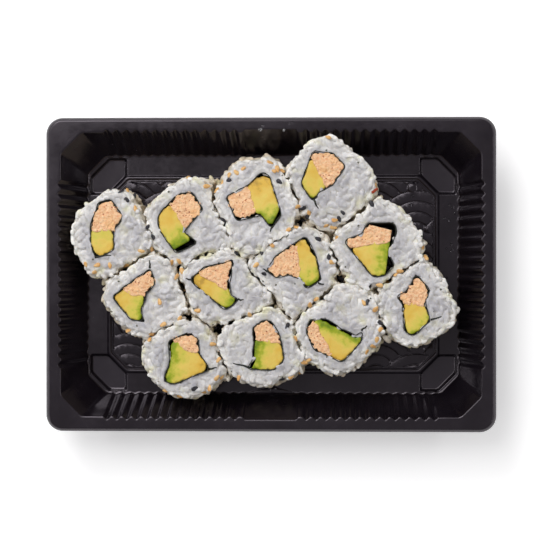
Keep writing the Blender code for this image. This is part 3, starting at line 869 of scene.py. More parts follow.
def undulate(mesh, cut, seed):
    """Broad swells and a fine fuzz of crushed grain on the cut face."""
    points = corners_of(mesh)
    share = 1 - side_share(cut, points)
    for i in np.nonzero(share > 0.02)[0]:
        x, y = points[i, 0], points[i, 1]
        points[i, 2] += share[i] * (SWELL_RISE * wobble(x, y, SWELL_SIZE, seed)
                                    + FUZZ_RISE * wobble(x, y, FUZZ_SIZE, seed))
    move_corners(mesh, points)


def cut_flat(mesh, cut):
    """Take off what stands above the knife's way, with soft shoulders."""
    points = corners_of(mesh)
    level = below_cut(cut, points) + points[:, 2] - CUT_BELOW
    under = np.clip((level - points[:, 2]) / CUT_SOFT, -30, 30)
    points[:, 2] = np.where(under < 8, level - CUT_SOFT * np.log1p(np.exp(under)), points[:, 2])
    move_corners(mesh, points)


def build_rice(cut, dice):
    """Real grains laid over a smaller core, stuck together, and cut level."""
    bm = solid("rice_" + cut.number)
    bmesh.ops.triangulate(bm, faces=bm.faces)
    middle = cut.middle.to_3d()
    seed = int(cut.number)
    shape, triangles = pod(GRAIN_TURNS, GRAIN_STEPS, plump, plump)
    pieces, spines = [], []

    def lay(place, way, normal, radius):
        """Put one grain down."""
        half = max(radius, dice.gauss(*GRAIN_LENGTH) / 2)
        corners = placed_grain(shape, place, way, normal, half, radius, dice.gauss(0, GRAIN_BEND))
        pieces.append((corners, triangles))
        spines.append(corners[1:-1].reshape(-1, GRAIN_TURNS, 3).mean(1))

    def any_way(size=1.0):
        """A random direction."""
        return size * Vector((dice.gauss(0, 1), dice.gauss(0, 1), dice.gauss(0, 1)))

    def cut_side(face):
        return face.normal.z > FLAT

    def outer_side(face):
        away = (face.calc_center_median() - middle).xy
        return abs(face.normal.z) < FLAT and away.dot(face.normal.xy) > 0

    for place, normal in zip(*scatter(bm, cut_side, FACE_SPACING, dice)):
        radius = dice.gauss(*GRAIN_RADIUS)
        if nearest(place.xy, cut.pocket)[1] < POCKET_CLEAR * radius:
            continue
        out = Vector((place.x - middle.x, place.y - middle.y, 0.0)).normalized()
        hit, side_normal, _, to_rim = bodies[cut.number].ray_cast(place - Vector((0, 0, 2)), out)
        way = any_way()
        if hit and to_rim < RIM_REACH:
            way = Vector((-side_normal.y, side_normal.x, 0.0)) + any_way(RIM_SWAY)
        lay(place - normal * radius * dice.uniform(*FACE_SINK), way, normal, radius)
    for place, normal in zip(*scatter(bm, outer_side, SIDE_SPACING, dice)):
        radius = dice.gauss(*GRAIN_RADIUS)
        clump = CLUMP_PUSH * wobble(place.x + place.z, place.y - place.z, CLUMP_SIZE, seed + 30)
        push = clump + swelling(place, normal, cut.number)
        for share in SECOND_LAYER if push > radius else (1.0,):
            sink = radius * dice.uniform(*SIDE_SINK) - share * push
            lay(place - normal * sink, any_way(), (normal + any_way(TILT_SWAY)).normalized(), radius)
    edge = resampled(cut.pocket, EDGE_SPACING)
    for point, out in zip(edge, outward(edge)):
        radius = dice.gauss(*GRAIN_RADIUS)
        spot = point + out * (radius + EDGE_CLEAR + dice.gauss(0, EDGE_STRAY))
        place = Vector((*spot, cut.height(*spot) - radius * dice.uniform(*EDGE_SINK)))
        lay(place, Vector((-out.y, out.x, 0.0)) + any_way(EDGE_SWAY), Vector((0, 0, 1)), radius)
    bmesh.ops.subdivide_edges(bm, edges=bm.edges, cuts=CORE_CUTS, use_grid_fill=True)
    bmesh.ops.triangulate(bm, faces=bm.faces)
    bm.normal_update()
    for vert in bm.verts:
        gap = cut.nori.find_nearest(vert.co)[3]
        if gap > POCKET_NEAR:
            grow = 0.0 if vert.normal.z > FLAT else swelling(vert.co, vert.normal, cut.number)
            vert.co += vert.normal * (grow - CORE_INSET)
        else:
            vert.co -= Vector((vert.normal.x, vert.normal.y, 0.0)).normalized() * POCKET_BACK
            vert.co.z -= CORE_DROP if vert.normal.z > 0.1 else 0.0
    bm.verts.index_update()
    core = np.array([v.co for v in bm.verts])
    pieces.append((core, np.array([[v.index for v in face.verts] for face in bm.faces])))
    bm.free()

    stuck = as_made(joined_mesh("stuck", pieces),
                    ("REMESH", {"mode": "VOXEL", "voxel_size": RICE_VOXEL * MM}))
    side = side_share(cut, corners_of(stuck))
    cut_flat(stuck, cut)
    ease(stuck, [EASE_SHARE - EASE_SIDE * side] * EASE_ROUNDS)
    mesh = as_made(stuck, ("DECIMATE", {"ratio": RICE_TRIANGLES / (2 * len(stuck.polygons))}))
    mark_grains(mesh, spines)
    undulate(mesh, cut, seed)
    mesh.name = "rice_grains_" + cut.number
    mesh.shade_smooth()
    return mesh


def speckle_group():
    """Small scattered dots: a mask, from the size of the cells and how many of them hold a dot."""
    group = bpy.data.node_groups.new("Scattered dots", "ShaderNodeTree")
    for name, kind in (("Vector", "NodeSocketVector"), ("Cells", "NodeSocketFloat"),
                       ("Share", "NodeSocketFloat"), ("Size", "NodeSocketFloat")):
        group.interface.new_socket(name, in_out="INPUT", socket_type=kind)
    group.interface.new_socket("Mask", in_out="OUTPUT", socket_type="NodeSocketFloat")
    given = group.nodes.new("NodeGroupInput").outputs
    warp = put(group, "ShaderNodeTexNoise", {"Vector": given["Vector"], "Scale": 1500.0})
    moved = put(group, "ShaderNodeVectorMath", {0: warp.outputs["Color"], "Scale": 0.0006},
                operation="SCALE").outputs[0]
    place = put(group, "ShaderNodeVectorMath", {0: given["Vector"], 1: moved},
                operation="ADD").outputs[0]
    cell = put(group, "ShaderNodeTexVoronoi", {"Vector": place, "Scale": given["Cells"]})
    near = combined(group, "LESS_THAN", cell.outputs["Distance"], given["Size"])
    part = put(group, "ShaderNodeSeparateColor", {"Color": cell.outputs["Color"]})
    picked = combined(group, "LESS_THAN", part.outputs[0], given["Share"])
    put(group, "NodeGroupOutput", {"Mask": combined(group, "MULTIPLY", near, picked)})
    return group


def dots(tree, place, cells, share, size):
    """A mask of scattered dots over a surface."""
    node = put(tree, "ShaderNodeGroup", {"Vector": place, "Cells": cells, "Share": share,
                                         "Size": size}, node_tree=SPECKLES)
    return node.outputs["Mask"]


SPECKLES = speckle_group()


def make_rice():
    """Wet white grains: greyer on the cut face, tinged yellow in places, with painted shade:
    beige deep down the sides, and darker in the creases and the seams between grains.
    """
    material, tree, shader, place = new_material(
        "sticky_rice", IOR=1.42, Subsurface_Weight=0.35, Subsurface_Scale=0.002,
        Subsurface_Radius=(1.0, 0.85, 0.7), Coat_Weight=0.12, Coat_Roughness=0.25)
    side, fine = painted(tree, "side"), mottle(tree, place, 230.0, 5.0)
    cloud = spread(tree, fine, 0.34, 0.66, 0.0, 0.35)
    for more in (spread(tree, painted(tree, "grain"), 0.0, 1.0, 0.0, 0.3),
                 spread(tree, mottle(tree, place, 620.0, 3.0), 0.36, 0.64, 0.0, 0.35)):
        cloud = combined(tree, "ADD", cloud, more)
    face = blend_colours(tree, cloud, (0.33, 0.32, 0.35), (0.66, 0.65, 0.66))
    rim = blend_colours(tree, cloud, (0.72, 0.70, 0.65), (1.0, 0.98, 0.93))
    body = blend_colours(tree, side, face, rim)
    stain = combined(tree, "MULTIPLY", spread(tree, mottle(tree, place, 150.0, 3.0), 0.55, 0.72),
                     spread(tree, side, 0.0, 1.0, 0.25, 0.7))
    for share, colour in (
            # Painted shade: darker and greyer in the seams between grains
            (spread(tree, painted(tree, "seam"), 0.2, 1.0, 0.0, 0.4), (0.36, 0.345, 0.33)),
            # Painted shade: warm beige deep down the sides, between the rolls
            (painted(tree, "deep"), (0.66, 0.57, 0.44)),
            (stain, (0.68, 0.65, 0.34)),
            # Painted shade: brown darkening in the creases between grains
            (spread(tree, painted(tree, "crease"), 0.15, 1.0, 0.0, 0.6), (0.33, 0.29, 0.22)),
            (dots(tree, place, 330.0, 0.10, 0.17), (0.10, 0.10, 0.075))):
        body = blend_colours(tree, share, body, colour)
    finish_shader(tree, shader, body, spread(tree, fine, 0.3, 0.7, 0.34, 0.55),
                  mottle(tree, place, 900.0), 0.15, 0.2)
    return material


cuts = [Cut(number) for number in ROLLS]
bodies = {number: tree_of(solid("rice_" + number)) for number in ROLLS}
dice = random.Random(11)
rice_material = make_rice()
rice_surface = {}
for cut in cuts:
    mesh = build_rice(cut, dice)
    points = corners_of(mesh)
    keep_attribute(mesh, "side", np.maximum(side_share(cut, points), rim_share(cut, points)))
    # How deep each corner lies in a crease, for the painted shade there
    keep_attribute(mesh, "crease", hollows(mesh))
    # How far down the side each corner lies, for the beige painted shade there
    keep_attribute(mesh, "deep", deep_shade_share(cut, points))
    add_piece(mesh, rice_material, "rice", "rice_" + cut.number)
    bm = bmesh.new()
    bm.from_mesh(mesh)
    rice_surface[cut.number] = tree_of(bm)


# ------------------------------------------------------------------ the seaweed
# A roasted sheet about half a millimetre thick, gone soft and dark in the damp rice. It lines the
# pocket from the cut face to the foot, and its loose ends run a little way into the rice.
NORI_THICK, NORI_STEP, NORI_OUT = (0.42, 0.26, 1.6), 0.6, 0.6      # mean, change, its width
NORI_BEND = 0.15                        # the most that it gives way into the rice
NORI_ROWS = ((0.0, 0.0), (0.0, 0.7), (0.12, 0.0), (0.45, 0.0), (1.0, 0.0))   # way down, extra drop
NORI_WAVES = ((0.45, 3.6, 40), (0.15, 1.4, 60))         # how far, how wide, and which noise
NORI_DROP, NORI_RAGGED = 0.2, (0.6, 3.0)      # its cut edge below the rice's face
CORNER_EASE = 0.8                       # how far its bends are rounded
TAIL_WIDE, TAIL_DEEP, TAIL_STEPS, TAIL_TAPER = 1.1, 2.5, 10, 0.6
TAIL_SUNK, TAIL_PROUD = 1.4, 0.1        # below the cut face where no rice is, and above the rice
TAIL_SWAY = (0.5, 4.0)                  # how far it winds, and how wide its bends are
# Loose ends of the sheet that run into the rice: where they leave the pocket and where they end
TAILS = {"01": ((-84.2, 8.3, -76.2, 9.2),), "03": ((1.4, 23.2, 0.2, 20.4),),
         "04": ((20.6, 36.6, 23.0, 31.4),), "05": ((-57.6, 3.0, -58.0, 6.8),),
         "06": ((-37.0, -2.6, -40.4, -2.0), (-15.4, -11.9, -12.6, -12.2)),
         "07": ((-0.8, 1.6, -3.4, 2.4), (22.4, -3.4, 25.8, -4.9)),
         "09": ((-29.4, -45.3, -25.4, -44.4),), "10": ((-9.6, -44.6, -17.6, -42.2),),
         "11": ((43.6, -26.6, 46.6, -24.6),), "12": ((75.8, -22.2, 82.0, -20.0),)}


def make_mottled(name, dark, pale, scale, detail, rough, strength, depth):
    """Stuff of one colour that shifts a little from place to place."""
    material, tree, shader, place = new_material(name, IOR=1.45)
    tone = mottle(tree, place, scale, detail)
    finish_shader(tree, shader, blend_colours(tree, spread(tree, tone, 0.35, 0.65), dark, pale),
                  spread(tree, tone, 0.3, 0.7, *rough), tone, strength, depth)
    return material


def outlines(node):
    """The closed outlines of a CAD solid's upper face."""
    bm = solid(node)
    loops = top_loops(bm)
    bm.free()
    return loops


def add_tail(bm, cut, tail):
    """A loose end of the sheet, let into the rice so that only its edge shows."""
    start, end = Vector(tail[:2]), Vector(tail[2:])
    across = Vector((start.y - end.y, end.x - start.x)).normalized()
    rings = []
    for step in range(TAIL_STEPS + 1):
        share = step / TAIL_STEPS
        sway = TAIL_SWAY[0] * wobble(start.x + step, start.y, TAIL_SWAY[1], 21.0)
        spot = start.lerp(end, share) + across * sway
        half = TAIL_WIDE * (1 - TAIL_TAPER * share) / 2
        top = cut.height(*spot) - TAIL_SUNK
        for aside in (-1, 0, 1):
            above = Vector((*(spot + across * half * aside), 2 * TRAY_HEIGHT)) * MM
            hit = rice_surface[cut.number].ray_cast(above, Vector((0, 0, -1)))[0]
            top = max(top, hit.z / MM + TAIL_PROUD if hit else 0.0)
        rings.append([bm.verts.new((*(spot + across * side * half), level))
                      for side, level in ((1, top), (-1, top), (-1, top - TAIL_DEEP),
                                          (1, top - TAIL_DEEP))])
    skin(bm, rings, closed=True)


def build_nori(cut, seed):
    """The pocket's lining, its two faces following the solid's middle line, and its tails."""
    outer, inner = outlines("nori_" + cut.number)
    outer = resampled(outer, NORI_STEP, CORNER_EASE)
    centre_line = [p.lerp(nearest(p, inner)[0], 0.5) for p in outer]
    centre_line = [p + way * NORI_OUT for p, way in zip(centre_line, outward(centre_line))]
    ways = outward(centre_line)
    bm = bmesh.new()
    sides = []
    for side in (1, -1):
        rings = []
        for share, extra_drop in NORI_ROWS:
            ring = []
            for point, way in zip(centre_line, ways):
                thick = NORI_THICK[0] + NORI_THICK[1] * wobble(point.x, point.y, NORI_THICK[2], seed)
                bend = min(NORI_BEND, sum(far * wobble(point.x, point.y, wide, seed + kind)
                                          for far, wide, kind in NORI_WAVES))
                spot = point + way * (side * thick / 2 + bend)
                ragged = NORI_RAGGED[0] * wobble(point.x, point.y, NORI_RAGGED[1], seed + 80)
                drop = NORI_DROP + ragged + extra_drop
                ring.append(bm.verts.new(cut.down(spot.x, spot.y, share, drop)))
            rings.append(ring)
        sides.append(rings)
    for rings in sides:
        skin(bm, rings[::-1])
    ring_band(bm, sides[0][0], sides[1][0])
    ring_band(bm, sides[1][-1], sides[0][-1])
    for tail in TAILS.get(cut.number, ()):
        add_tail(bm, cut, tail)
    return finished(bm, "nori_wall_" + cut.number)


nori_material = make_mottled("damp_seaweed", (0.005, 0.006, 0.006), (0.022, 0.026, 0.014),
                             900.0, 4.0, (0.5, 0.75), 0.5, 0.3)
for seed, cut in enumerate(cuts):
    add_piece(build_nori(cut, seed), nori_material, "nori", "nori_" + cut.number)


# ------------------------------------------------------------------ the filling
# Cooked fish, flaked and bound with dressing, and a strip of ripe avocado beside it. Both were laid
# along the sheet before rolling, so they run through the roll, and the knife cut them level.
FILLING_OUT, SEAM_REACH = 0.9, 0.75     # past the seaweed's inside, and where the halves meet
FILLING_SUNK, WALL_SUNK = 0.35, 0.5     # below the rice's cut face
WALL_ROWS = (0.05, 0.3, 1.0)            # shares of the way down
BORDER_SHARE, RIM_CURVE = 0.4, 1.6      # in steps of the mesh, and in depths of the rounding
RAGGED_SIZE, TUCK_SIZE = 1.9, 3.5       # of the waves in its outer edge, and in its seam
# Fineness, raggedness, rounding of the edge, and how far it goes over or under the other half
FISH_FORM, AVOCADO_FORM = (0.36, 1.8, 0.22, (0.3, 1.0)), (0.7, 0.9, 0.2, (1.3, 0.0))
# Relief of the cuts, each part with its size, its rise and where it levels off, and their sinking
FISH_SWELL, FISH_LUMPS, FISH_CRUMBS, FISH_BACK = (3.2, 0.35), (2.1, 0.9, 0.4), (1.1, 0.7, 0.35), 0.45
AVOCADO_SWELL, AVOCADO_GRAIN, AVOCADO_BACK = (6.0, 0.2), (1.8, 0.06), 0.3
RIPE_CURVE = 1.25
# Hollows beside the filling, where it leaves the seaweed: both ends of each, and its width
HOLLOWS = {"01": ((-81.8, 35.6, -78.6, 35.4, 0.8),),
           "03": ((-15.5, 26.6, -5.5, 28.2, 0.9), (-4.6, 48.6, -1.4, 48.6, 1.2)),
           "06": ((-16.8, 8.5, -19.0, -4.0, 0.6),),
           "07": ((18.6, 15.5, 20.9, 9.8, 0.8),),
           "09": ((-49.5, -40.5, -48.3, -32.5, 0.8),),
           "10": ((-9.2, -37.5, -9.0, -27.5, 0.8), (-11.6, -44.6, -9.4, -40.5, 1.8)),
           "11": ((27.0, -21.6, 41.5, -28.8, 0.8),),
           "12": ((62.4, -14.5, 64.2, -25.0, 0.5),)}
HOLLOW_REACH = 2.6
# Straight sides of the filling, the rice standing clear of them: two places on each
STRAIGHT = {"02": ((-46.9, 11.4, -36.9, 17.1),), "03": ((3.9, 29.6, 0.2, 21.6),),
            "08": ((48.5, 23.6, 57.0, 21.4), (57.9, 18.9, 55.2, 0.4))}
# The way each strip of avocado turns from yellow flesh to green skin side, in degrees, and how
# ripe it is at its yellow and at its green end
RIPE = {"01": (110, 0.25, 0.72), "02": (-60, 0.1, 1.0), "03": (-75, 0.0, 0.95),
        "04": (-100, 0.2, 0.85), "05": (-20, 0.2, 0.85), "06": (-35, 0.0, 0.9),
        "07": (-75, 0.15, 0.85), "08": (0, 0.2, 0.95), "09": (165, 0.15, 0.95),
        "10": (168, 0.2, 1.0), "11": (65, 0.1, 0.98), "12": (-60, 0.1, 0.8)}


def side_of(ends, middle):
    """A straight side from its two ends: its start, its run, and the unit way out of the roll."""
    start, run = np.array(ends[:2]), np.array(ends[2:]) - np.array(ends[:2])
    out = np.array((run[1], -run[0])) / np.hypot(*run)
    return start, run, out if out @ (start + run / 2 - np.array(middle)) > 0 else -out


def stood_off(spots, cut):
    """Places of the filling's edge drawn back from the hollows of its roll."""
    spots = np.array([tuple(spot) for spot in spots], float)
    shift, most = np.zeros_like(spots), np.zeros(len(spots))
    for *ends, width in HOLLOWS.get(cut.number, ()):
        start, run, out = side_of(ends, cut.middle)
        along = np.clip(((spots - start) @ run) / (run @ run), 0, 1)
        reach = np.linalg.norm(spots - start - along[:, None] * run, axis=1)
        push = width * np.clip(1 - (reach / HOLLOW_REACH) ** 2, 0, 1)
        shift[push > most] = (-out * push[:, None])[push > most]
        most = np.maximum(most, push)
    spots += shift
    for ends in STRAIGHT.get(cut.number, ()):
        start, _, out = side_of(ends, cut.middle)
        spots -= out * np.maximum((spots - start) @ out, 0.0)[:, None]
    return [Vector(spot) for spot in spots]


def build_filling(cut, half, other, name, relief, step, ragged, rim, tuck):
    """One half of the filling: a cut top with its own relief, and walls down to the foot."""
    beside = outlines(other + cut.number)[0]
    plain = resampled(outlines(half + cut.number)[0], step, CORNER_EASE)
    edge = []
    for p, way in zip(plain, outward(plain)):
        across = nearest(p, beside)[0] - p
        if across.length < SEAM_REACH:
            push = tuck[0] + tuck[1] * wobble(p.x, p.y, TUCK_SIZE, 12.0)
            edge.append(p + across.normalized() * push)
        else:
            edge.append(p + way * (ragged * wobble(p.x, p.y, RAGGED_SIZE, 3.0) + FILLING_OUT))
    edge = stood_off(edge, cut)
    flat_edge = [tuple(p) for p in edge]
    low, high = np.min(flat_edge, axis=0), np.max(flat_edge, axis=0)
    count_x, count_y = ((high - low) / step).astype(int) + 1
    extra = []
    for i in range(count_x):
        for j in range(count_y):
            spot = Vector((low[0] + (i + 0.5 * (j % 2)) * step, low[1] + j * step))
            if inside(tuple(spot), flat_edge) and nearest(spot, edge)[1] > BORDER_SHARE * step:
                extra.append(spot)

    def top(x, y):
        away = nearest(Vector((x, y)), edge)[1]
        fall = rim * max(0.0, 1 - away / (RIM_CURVE * rim)) ** 2
        return cut.height(x, y) - FILLING_SUNK - fall + relief(x, y)

    bm = bmesh.new()
    fill_region(bm, flat_edge, [], extra, top)
    rings = [add_ring(bm, [(p.x, p.y, top(p.x, p.y)) for p in edge])]
    for share in WALL_ROWS:
        rings.append(add_ring(bm, [cut.down(p.x, p.y, share, WALL_SUNK) for p in edge]))
    skin(bm, rings[::-1])
    bm.faces.new(rings[-1])
    bmesh.ops.remove_doubles(bm, verts=bm.verts, dist=WELD)
    return finished(bm, name + cut.number)


def flakes(x, y):
    """Relief of the flaked fish: rounded lumps parted by small pits."""
    height = FISH_SWELL[1] * wobble(x, y, FISH_SWELL[0], 1.0) - FISH_BACK
    size, rise, most = FISH_LUMPS
    height += rise * min(abs(wobble(x * 1.25, y * 0.8, size, 2.0)), most)
    size, rise, most = FISH_CRUMBS
    return height + rise * min(abs(wobble(x, y, size, 5.0)), most)


def smooth_cut(x, y):
    """The faint swell of the avocado's cut."""
    return (AVOCADO_SWELL[1] * wobble(x, y, AVOCADO_SWELL[0], 9.0)
            + AVOCADO_GRAIN[1] * wobble(x, y, AVOCADO_GRAIN[0], 6.0) - AVOCADO_BACK)


def ramp(tree, factor, stops):
    """A colour ramp through (place, colour) stops."""
    node = put(tree, "ShaderNodeValToRGB", {"Fac": factor})
    band = node.color_ramp
    while len(band.elements) < len(stops):
        band.elements.new(0.5)
    for element, (place, colour) in zip(band.elements, stops):
        element.position = place
        element.color = (*colour, 1.0)
    return node.outputs["Color"]


def make_fish():
    """Orange flakes with paler fibres and dark flecks."""
    material, tree, shader, place = new_material(
        "flaked_fish", IOR=1.42, Subsurface_Weight=0.12, Subsurface_Scale=0.0008,
        Subsurface_Radius=(1.0, 0.6, 0.4))
    strand = put(tree, "ShaderNodeMapping", {"Vector": place, "Scale": (1.0, 1.7, 1.0),
                                             "Rotation": (0.0, 0.0, 0.6)}).outputs[0]
    fibre = mottle(tree, strand, 650.0, 5.0, Roughness=0.65, Distortion=0.8)
    body = ramp(tree, fibre, ((0.30, (0.56, 0.22, 0.11)), (0.42, (0.80, 0.44, 0.23)),
                              (0.55, (0.88, 0.57, 0.33)), (0.72, (0.92, 0.66, 0.42))))
    dressed = spread(tree, mottle(tree, place, 190.0), 0.5, 0.75, 0.0, 0.5)
    body = blend_colours(tree, dressed, body, (0.86, 0.50, 0.20))
    body = blend_colours(tree, dots(tree, place, 700.0, 0.22, 0.26), body, (0.42, 0.13, 0.06))
    finish_shader(tree, shader, body, spread(tree, fibre, 0.3, 0.7, 0.6, 0.4), fibre, 0.7, 0.6)
    return material


def make_avocado():
    """Butter yellow running into green towards the skin side."""
    material, tree, shader, place = new_material(
        "ripe_avocado", IOR=1.45, Subsurface_Weight=0.15, Subsurface_Scale=0.001,
        Subsurface_Radius=(1.0, 0.8, 0.3), Coat_Weight=0.03, Coat_Roughness=0.3)
    drift, fibre = mottle(tree, place, 260.0, 3.0), mottle(tree, place, 1100.0, 3.0)
    moved = combined(tree, "ADD", painted(tree, "ripe"),
                     spread(tree, drift, 0.25, 0.75, -0.2, 0.2))
    body = ramp(tree, moved, ((0.0, (0.46, 0.27, 0.03)), (0.14, (0.70, 0.44, 0.06)),
                              (0.45, (0.73, 0.54, 0.11)), (0.66, (0.60, 0.53, 0.075)),
                              (0.80, (0.32, 0.38, 0.012)), (0.95, (0.15, 0.23, 0.001))))
    body = blend_colours(tree, spread(tree, fibre, 0.55, 0.8, 0.0, 0.35), body,
                         (0.60, 0.42, 0.06))
    finish_shader(tree, shader, body, spread(tree, drift, 0.3, 0.7, 0.3, 0.5), fibre, 0.2, 0.3)
    return material


fish_material, avocado_material = make_fish(), make_avocado()
for cut in cuts:
    mesh = build_filling(cut, "fish_", "avocado_", "fish_flaked_", flakes, *FISH_FORM)
    add_piece(mesh, fish_material, "fish_mix", "fish_" + cut.number)
    mesh = build_filling(cut, "avocado_", "fish_", "avocado_strip_", smooth_cut, *AVOCADO_FORM)
    points = corners_of(mesh)
    way, yellow, green = RIPE[cut.number]
    along = points[:, 0] * cos(radians(way)) + points[:, 1] * sin(radians(way))
    share = (along - along.min()) / (along.max() - along.min())
    keep_attribute(mesh, "ripe", yellow + (green - yellow) * share ** RIPE_CURVE)
    add_piece(mesh, avocado_material, "avocado", "avocado_" + cut.number)


# ------------------------------------------------------------------ the sesame
# Toasted tan seeds and black ones, flat teardrops 3 mm long. The roll was turned in them before it
# was cut, so they sit on its side and along the edge of the cut face.
SEED_HALF, FLAKE_HALF, SEED_WIDE, SEED_FLAT, SEED_PROUD = 1.7, 1.2, 0.6, 0.5, 0.12
SEED_TURNS, SEED_STEPS, SEED_TILT, SEED_VARIES = 10, 7, 0.2, 0.08
TAN_PLACES = ((-88.6, 4.8), (-84.2, 1.1), (-83.0, 4.5), (-76.9, 4.3), (-61.7, 11.2), (-64.6, 31.6),
              (-68.9, 40.2), (-51.3, 8.2), (-57.0, 12.2), (-37.8, 46.8), (-39.6, 46.2),
              (-30.3, 42.3), (-47.3, 5.9), (-43.6, 6.4), (-42.3, 1.6), (-70.4, 2.1), (-69.7, 4.5),
              (-52.9, -13.0), (-43.1, -21.0), (-51.3, -24.0), (-68.1, -26.9), (-44.9, -1.1),
              (-41.2, -6.9), (-34.8, -17.3), (-16.2, 48.9), (-12.7, 50.8), (-19.6, 47.6),
              (-23.1, 43.9), (-25.7, 40.4), (2.0, 49.5), (3.6, 50.4), (0.1, 53.5), (5.9, 49.5),
              (-4.5, 58.0), (13.4, 35.6), (13.1, 32.4), (18.7, 29.8), (31.0, 25.9), (26.7, 23.4),
              (30.4, 22.5), (12.6, 22.6), (8.8, 21.3), (0.9, 14.1), (-6.6, 4.5), (22.1, -11.8),
              (19.2, -14.4), (29.6, 12.3), (29.5, 5.9), (27.9, 65.5), (50.4, 42.4), (32.2, 17.9),
              (72.8, 12.4), (74.5, 8.1), (60.4, 0.3), (62.2, 1.6), (52.4, -5.1), (56.1, -4.0),
              (-9.7, -19.0), (-57.2, -28.5), (-57.8, -31.2), (-27.3, -33.3), (-24.6, -40.9),
              (-23.4, -49.0), (-25.4, -49.4), (-31.9, -56.2), (-43.3, -58.3), (-50.2, -55.6),
              (-28.9, -54.4), (-15.0, -49.6), (10.1, -49.0), (14.0, -46.8), (16.4, -42.1),
              (12.5, -30.6), (18.5, -40.8), (46.3, -37.0), (51.1, -31.2), (49.3, -34.2),
              (52.6, -26.4), (44.8, -13.4), (50.6, -16.5))
BLACK_PLACES = ((-68.6, 35.9), (-71.5, 39.9), (-65.7, 38.0), (-56.0, 18.1), (-58.5, 22.9),
                (-34.3, 46.6), (-19.9, 45.2), (4.6, 44.4), (-22.6, 26.1), (16.0, 31.9),
                (17.9, 27.7), (33.1, 26.6), (34.8, 29.6), (48.7, 33.7), (38.6, 25.3), (23.0, 17.0),
                (28.2, 8.6), (32.2, -1.6), (-3.9, 10.6), (-2.8, 0.4), (-16.2, 10.6), (47.6, -5.7),
                (-36.1, -54.6), (8.3, -24.6), (5.5, -50.1), (46.7, -13.2), (52.9, -23.1))
FLAKE_PLACES = ((50.6, 40.6), (49.6, 39.6))             # red pepper, on the fourth roll


def seed_width(angle):
    """A teardrop: wider towards its blunt end."""
    return sin(angle) ** 0.85 * (1 + 0.32 * cos(angle))


def seed_thickness(angle):
    """Blunt at both ends."""
    return sin(angle) ** 0.6


def build_seeds(name, places, dice, size):
    """Seeds pressed flat into the rice under the given places."""
    shape, triangles = pod(SEED_TURNS, SEED_STEPS, seed_width, seed_thickness)
    shape = shape * np.array((1.0, 1.0, SEED_FLAT))
    pieces = []
    down = Vector((0, 0, -1))
    for x, y in places:
        above = Vector((x, y, 2 * TRAY_HEIGHT)) * MM
        hits = [tree.ray_cast(above, down) for tree in rice_surface.values()]
        hits = [hit for hit in hits if hit[0]]
        if not hits:
            continue
        spot, normal = max(hits, key=lambda hit: hit[0].z)[:2]
        tilt = Vector((dice.gauss(0, SEED_TILT), dice.gauss(0, SEED_TILT), 0.3))
        normal = (normal + tilt).normalized()
        way = Vector((dice.gauss(0, 1), dice.gauss(0, 1), dice.gauss(0, 0.3)))
        half = size * dice.gauss(1.0, SEED_VARIES)
        pieces.append((placed_grain(shape, spot / MM + normal * SEED_PROUD, way, normal, half,
                                    half * SEED_WIDE, 0.0), triangles))
    mesh = joined_mesh(name, pieces)
    mesh.shade_smooth()
    return mesh


dice = random.Random(5)
for name, places, size, slot, stuff, pale, dark in (
        ("sesame_tan_seeds", TAN_PLACES, SEED_HALF, "sesame_tan",
         "toasted_sesame", (0.78, 0.50, 0.21), (0.62, 0.32, 0.10)),
        ("sesame_black_seeds", BLACK_PLACES, SEED_HALF, "sesame_black",
         "black_sesame", (0.035, 0.032, 0.04), (0.012, 0.011, 0.014)),
        ("pepper_flakes", FLAKE_PLACES, FLAKE_HALF, "",
         "red_pepper", (0.40, 0.07, 0.02), (0.28, 0.03, 0.01))):
    add_piece(build_seeds(name, places, dice, size),
              make_mottled(stuff, dark, pale, 480.0, 3.0, (0.32, 0.5), 0.3, 0.2), slot)


# ------------------------------------------------------------------ the water on the plastic
# Drops of condensation, left on the flange and the ledges when the lid came off. They cling to
# the plastic in loose groups of two to four.
DROP_PLACES = ((84.5, 26.0), (86.0, 12.0), (84.0, -2.0), (85.5, -14.0), (-2.5, 71.0),
               (9.5, 70.5), (62.0, 60.0), (57.0, 60.5), (86.5, 33.0), (66.0, 36.0))
DROP_RADIUS, DROP_SIDES, DROP_WAVER = (0.35, 0.95), 12, 0.12
DROP_STEPS = ((1.0, -0.03), (0.93, 0.16), (0.72, 0.34), (0.38, 0.45))     # reach, rise, in radii
FLANGE_FROM = (101.0, 68.0)


def build_drops(dice):
    """A few flat-topped drops round each place, on whatever level lies there."""
    bm = bmesh.new()
    for x, y in DROP_PLACES:
        for _ in range(dice.randrange(2, 5)):
            cx, cy = x + dice.gauss(0, 1.6), y + dice.gauss(0, 2.0)
            on_flange = abs(x) > FLANGE_FROM[0] or abs(y) > FLANGE_FROM[1]
            ground = TRAY_HEIGHT if on_flange else LEDGE_HEIGHT
            if abs(cx) < PANEL[0] / 2 and abs(cy) < PANEL[1] / 2:
                ground = LEDGE_HEIGHT + PANEL_STEPS[-1][1]
            radius = dice.uniform(*DROP_RADIUS)
            rings = []
            for share, rise in DROP_STEPS:
                ring = []
                for k in range(DROP_SIDES):
                    angle, reach = 2 * pi * k / DROP_SIDES, radius * share
                    ring.append((cx + reach * cos(angle) * (1 + DROP_WAVER * sin(k + cx)),
                                 cy + reach * sin(angle) * (1 + DROP_WAVER * cos(2 * k + cy)),
                                 ground + rise * radius))
                rings.append(add_ring(bm, ring))
            skin(bm, rings, closed=True)
    return finished(bm, "water_drops")


def make_water():
    """Clear drops, their skin a little uneven."""
    material, tree, shader, place = new_material(
        "water", IOR=1.333, Transmission_Weight=1.0, Roughness=0.02,
        Base_Color=(0.97, 0.98, 1.0, 1.0))
    emboss(tree, shader, mottle(tree, place, 700.0), 0.1, 0.2)
    return material


add_piece(build_drops(random.Random(8)), make_water(), "water")


# ------------------------------------------------------------------ the table, the light, the camera
# A plain white table under a pale sky of soft light, with two soft boxes behind it on the left and
# a narrow strip of light on either side.
FLOOR_HALF, FLOOR_LEVEL = 1.6, -0.0002
SKY, SKY_STRENGTH = (1.0, 0.98, 1.0), 0.34
